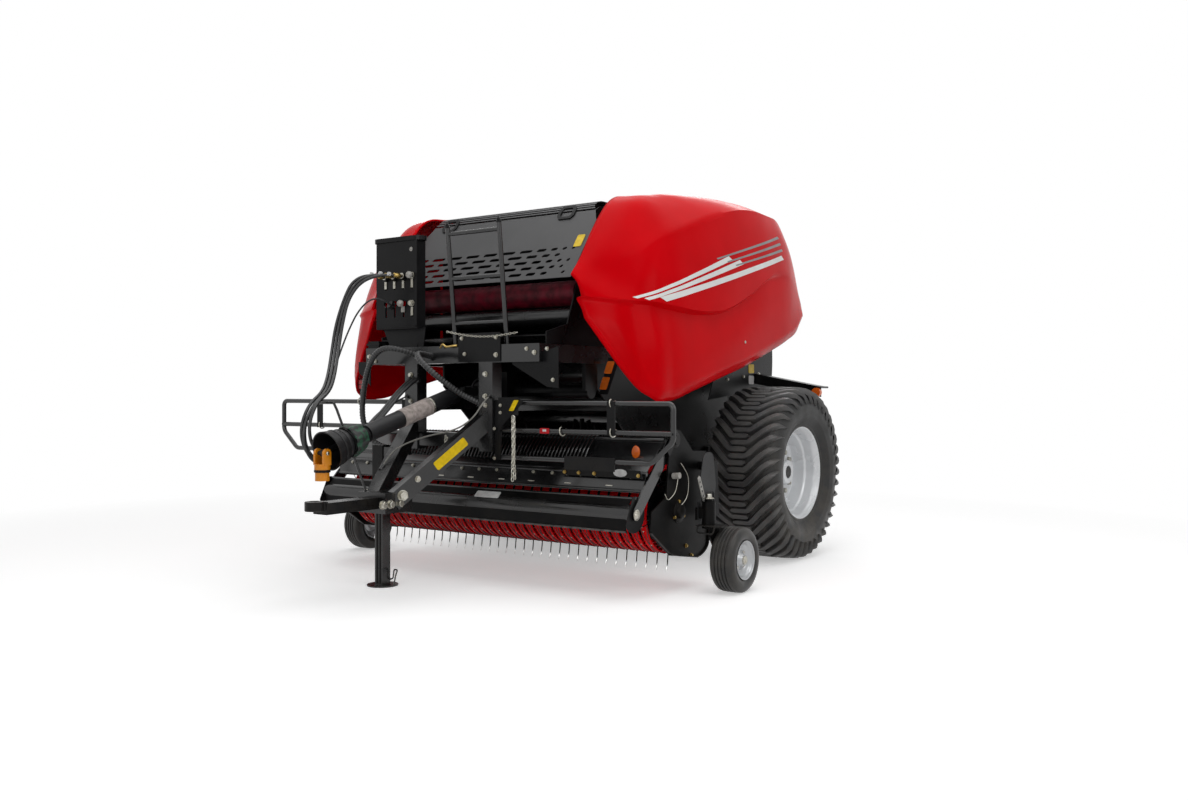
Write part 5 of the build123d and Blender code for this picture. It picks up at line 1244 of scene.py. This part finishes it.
# ---- sheets behind the reel
# Flat dark sheets stand behind the reel, below and on each side of the rotor's mouth: painted
# shade, in the darker black, where the inside of the machine lies in shade.
shade_sheets = [block(640, 1190, -1150, -1146, 235, 690), block(-1190, -640, -1150, -1146, 235, 690)]
shade_sheets.append(block(-638, 638, -1150, -1146, 235, 515))
flat_piece("shade_sheets_behind_reel", shade_sheets, shade_darkened_black, "pickup")

# ---- pickup's side plates
# Folded edges stiffen each plate, a bearing plate carries the reel's shaft, and bolts, a tension
# spring and two wire stays stand on the outside.
EDGE = ((-1800, 360), (-1590, 215), (-1280, 165), (-1165, 220), (-1165, 765))
side_parts, side_bolts, springs, stays = [], [], [], []
for s in (1, -1):
    lip = rounded(EDGE, 60, 6)
    side_parts.append(slab(np.concatenate((lip, (lip + (1.5, 7))[::-1])), s * 1199, s * 1222))
    for profile, place, steps in (
        ([(0, 62), (6, 62), (8, 40), (22, 38), (24, 30)], REEL, 32),
        ([(0, 44), (8, 44), (10, 30), (18, 28)], (-1540, 850), 28),
    ):
        side_parts.append(lathe(profile, (s * 1210, *place), (s, 0, 0), steps))
    bracket = [(-1640, 800), (-1560, 905), (-1520, 905), (-1520, 860), (-1610, 760)]
    side_parts.append(slab(bracket, s * 1212, s * 1218))
    for y, z in ((-1500, 505), (-1452, 422), (-1548, 422), (-1362, 190), (-1420, 250)):
        side_bolts += bolt((s * 1210.5, y, z), (s, 0, 0), 16)
    spring = [(0, 6), (1, 17), (44, 17), (45, 6)]
    springs.append(lathe(spring, (s * 1216, -1572, 652), (s, 0, 0.1), 20))
    for stay, ease in (
        (((1240, -1556, 648), (1232, -1570, 560), (1224, -1640, 520), (1222, -1668, 560)), 40),
        (((1224, -1500, 720), (1232, -1420, 640), (1232, -1440, 520), (1222, -1520, 470)), 60),
    ):
        stays.append(rod(rounded(np.array(stay) * (s, 1, 1), ease), 2.5))
piece_of("side_plate_edges", side_parts, black_paint, "pickup")
flat_piece("side_plate_bolts", side_bolts, brass, "pickup")
piece_of("tension_springs", springs, pale_plastic, "pickup")
piece_of("wire_stays", stays, zinc, "pickup")

# ---- gauge wheels
# Small ribbed tyres on pressed silver rims with a bright cap; each turns in a castor whose crown
# plate and wire handle are painted black, hung on an arm with a pale galvanised, punched strip.
GAUGE = (-1310, 182)
GAUGE_X = 1460
# a groove between ribs: across it, and its depth
RIB = ((-4.2, 0), (-2.2, 7), (2.2, 7), (4.2, 0))
ribs = [(c + e, 181.5 - d) for c in (-31.5, -10.5, 10.5, 31.5) for e, d in RIB]
half = [(50, 100.3), (64, 110), (72, 124), (74.5, 136), (73.5, 152), (67, 168), (56, 179)]
gauge_section = [(-a, r) for a, r in half] + ribs + half[::-1]
gauge_rubber = coated(
    "smooth_trailer_tyre_rubber", "#1E1E1F", "#282827", (0.35, 0.5), shine=0.35, dust=0.1
)
gauge_rim = (
    (50, 12), (60, 26), (50, 34), (36, 46), (30, 62), (40, 74), (46, 88), (56, 94), (66, 108),
    (70, 109), (68, 102), (50, 99.5), (-50, 99.5), (-68, 104), (-66, 96), (-46, 88), (-20, 60),
    (-30, 40), (-50, 30), (-50, 12),
)
cast_iron = coated(
    "black_cast_iron", "#121213", "#1C1C1D", (0.4, 0.55), shine=0.3, skin_mm=3, skin=0.3
)
for side, s in SIDES:
    out, wheel, fork = (s, 0, 0), f"gauge_wheel_{side}", f"gauge_fork_{side}"
    centre = (AXLE_Y + GAUGE[0] / 1000, GAUGE[1] / 1000)
    for slot, profile, mat in (
        ("tyre", gauge_section, gauge_rubber), ("rim", gauge_rim, FINISHES["rim"])
    ):
        profile = rounded(np.array(profile) / 1000, 0.004, 3)
        parts = [turned(profile, centre, s * GAUGE_X / 1000, s)]
        name, node = f"gauge_wheel_{slot}_{side}", f"gauge_{slot}_{side}"
        joined(piece_of(name, parts, mat, wheel, replaces=[node], slot=slot))
    caps = [lathe([(0, 25), (2, 26), (10, 24), (15, 17), (18, 4)], (s * 1516, *GAUGE), out, 28)]
    for a in np.radians((45, 135, 225, 315)):
        place = (s * 1491, GAUGE[0] + 52 * np.cos(a), GAUGE[1] + 52 * np.sin(a))
        caps += bolt(place, out, 13)
    piece_of(f"gauge_wheel_cap_{side}", caps, zinc, wheel)
    crown = [(s * 1300, -1468), (s * 1436, -1460), (s * 1436, -1352), (s * 1300, -1340)]
    grab = ((1312, -1462, 373), (1312, -1476, 338), (1412, -1476, 334), (1412, -1458, 373))
    castor = [slab(crown, 371.5, 376.5, 2), rod(rounded(np.array(grab) * (s, 1, 1), 16), 5)]
    piece_of(f"castor_crown_{side}", castor, black_paint, fork)
    plate = ((-1411, 622), (-1370, 774), (-1262, 774), (-1225, 552), (-1330, 466), (-1385, 466))
    foot = [(-1440, 402), (-1360, 402), (-1360, 500), (-1440, 500)]
    clip = ((1300, -1340, 520), (1318, -1300, 560), (1318, -1290, 500), (1300, -1300, 450))
    arm = [
        slab(rounded(plate, 46, 6), s * 1293.5, s * 1298),
        slab(foot, s * 1295, s * 1300),
        rod(rounded(np.array(clip) * (s, 1, 1), 20), 6),
    ]
    piece_of(f"gauge_arm_parts_{side}", arm, cast_iron, "pickup")
    strip = [(-1378, 480), (-1346, 486), (-1418, 640), (-1432, 648), (-1448, 634)]
    flat_piece(f"punched_strip_{side}", [slab(strip, s * 1299, s * 1303)], pale_plastic, "pickup")
    holes = [
        lathe([(0, 6.5), (0.8, 6.5)], (s * 1303, -1373 - 12.5 * k, 508 + 26 * k), out, 14)
        for k in range(5)
    ]
    flat_piece(f"strip_holes_{side}", holes, hose_rubber, "pickup")
    swivel = bolt((s * 1345, -1400, 527), (0, 0, 1), 30)
    swivel.append(lathe([(0, 30), (3, 30), (5, 24)], (s * 1345, -1400, 522), (0, 0, 1), 24))
    flat_piece(f"castor_nut_{side}", swivel, zinc, fork)

# ---- tail and mudguard details
# A flat plate with blank labels stands behind each side panel; the mudguard's free edge has a
# rubber lip, and a pair of lamps on each tail post sits in a black moulded housing.
def eased(half_x, half_z, x, z, radius):
    """A rectangle with eased corners, its middle at x and z."""
    signs = ((-1, -1), (1, -1), (1, 1), (-1, 1), (-1, -1))
    return rounded([(x + a * half_x, z + b * half_z) for a, b in signs], radius)[:-1]


plates, sheet_bolts, lips, housings = [], [], [], []
for s in (1, -1):
    plates.append(slab([(-330, 1060), (640, 1150), (640, 1440), (-120, 1440)], s * 748, s * 752))
    for y, z in ((-60, 1200), (180, 1222), (420, 1244)):
        sheet_bolts += bolt((s * 752, y, z), (s, 0, 0), 17)
    lips.append(rod(((s * 1262, 352, 1146), (s * 1262, 478, 1146)), 7))
    housings.append(slab(eased(50, 34, s * 1150, 1112, 10), 474, 482, 1))
flat_piece("rear_plates", plates, black_paint)
flat_piece("rear_plate_bolts", sheet_bolts, zinc)
piece_of("mudguard_lips", lips, hose_rubber)
piece_of("mudguard_plates", housings, FINISHES["rubber"])
for name, z, wide, high, film in (
    ("yellow", 1280, 86, 64, yellow_vinyl), ("white", 1200, 80, 62, white_vinyl)
):
    plate = label((753, 305, z), (0, 1, 0), (0, 0, 1), wide, high)
    flat_piece(f"rear_{name}_label", [plate], film)

# ---- front rail's small parts
# A pair of red lenses on a flat steel bracket, a junction box moulded in pale plastic, and a
# blank red vinyl label with a white one stuck on it.
bracket = block(-762, -722, -2036, -2032, 1052, 1192)
flat_piece("lamp_bracket", [bracket], black_paint)
lamps = [block(-757, -727, -2048, -2036, z, z + 24) for z in (1134, 1162)]
flat_piece("front_red_lamps", lamps, FINISHES["red_lens"])
box = slab(eased(25, 24, -793, 814, 8), -2050, -2030, 1)
piece_of("junction_box", [box], pale_plastic)
red_vinyl = vinyl("traffic_red_vinyl", "#C4101C")
for name, y, z, wide, high, film in (
    ("red", -2046, 904, 64, 30, red_vinyl), ("white", -2047.6, 906, 24, 12, white_vinyl)
):
    plate = label((690, y, z), X_AXIS, (0, 0, 1), wide, high)
    flat_piece(f"rail_{name}_label", [plate], film)
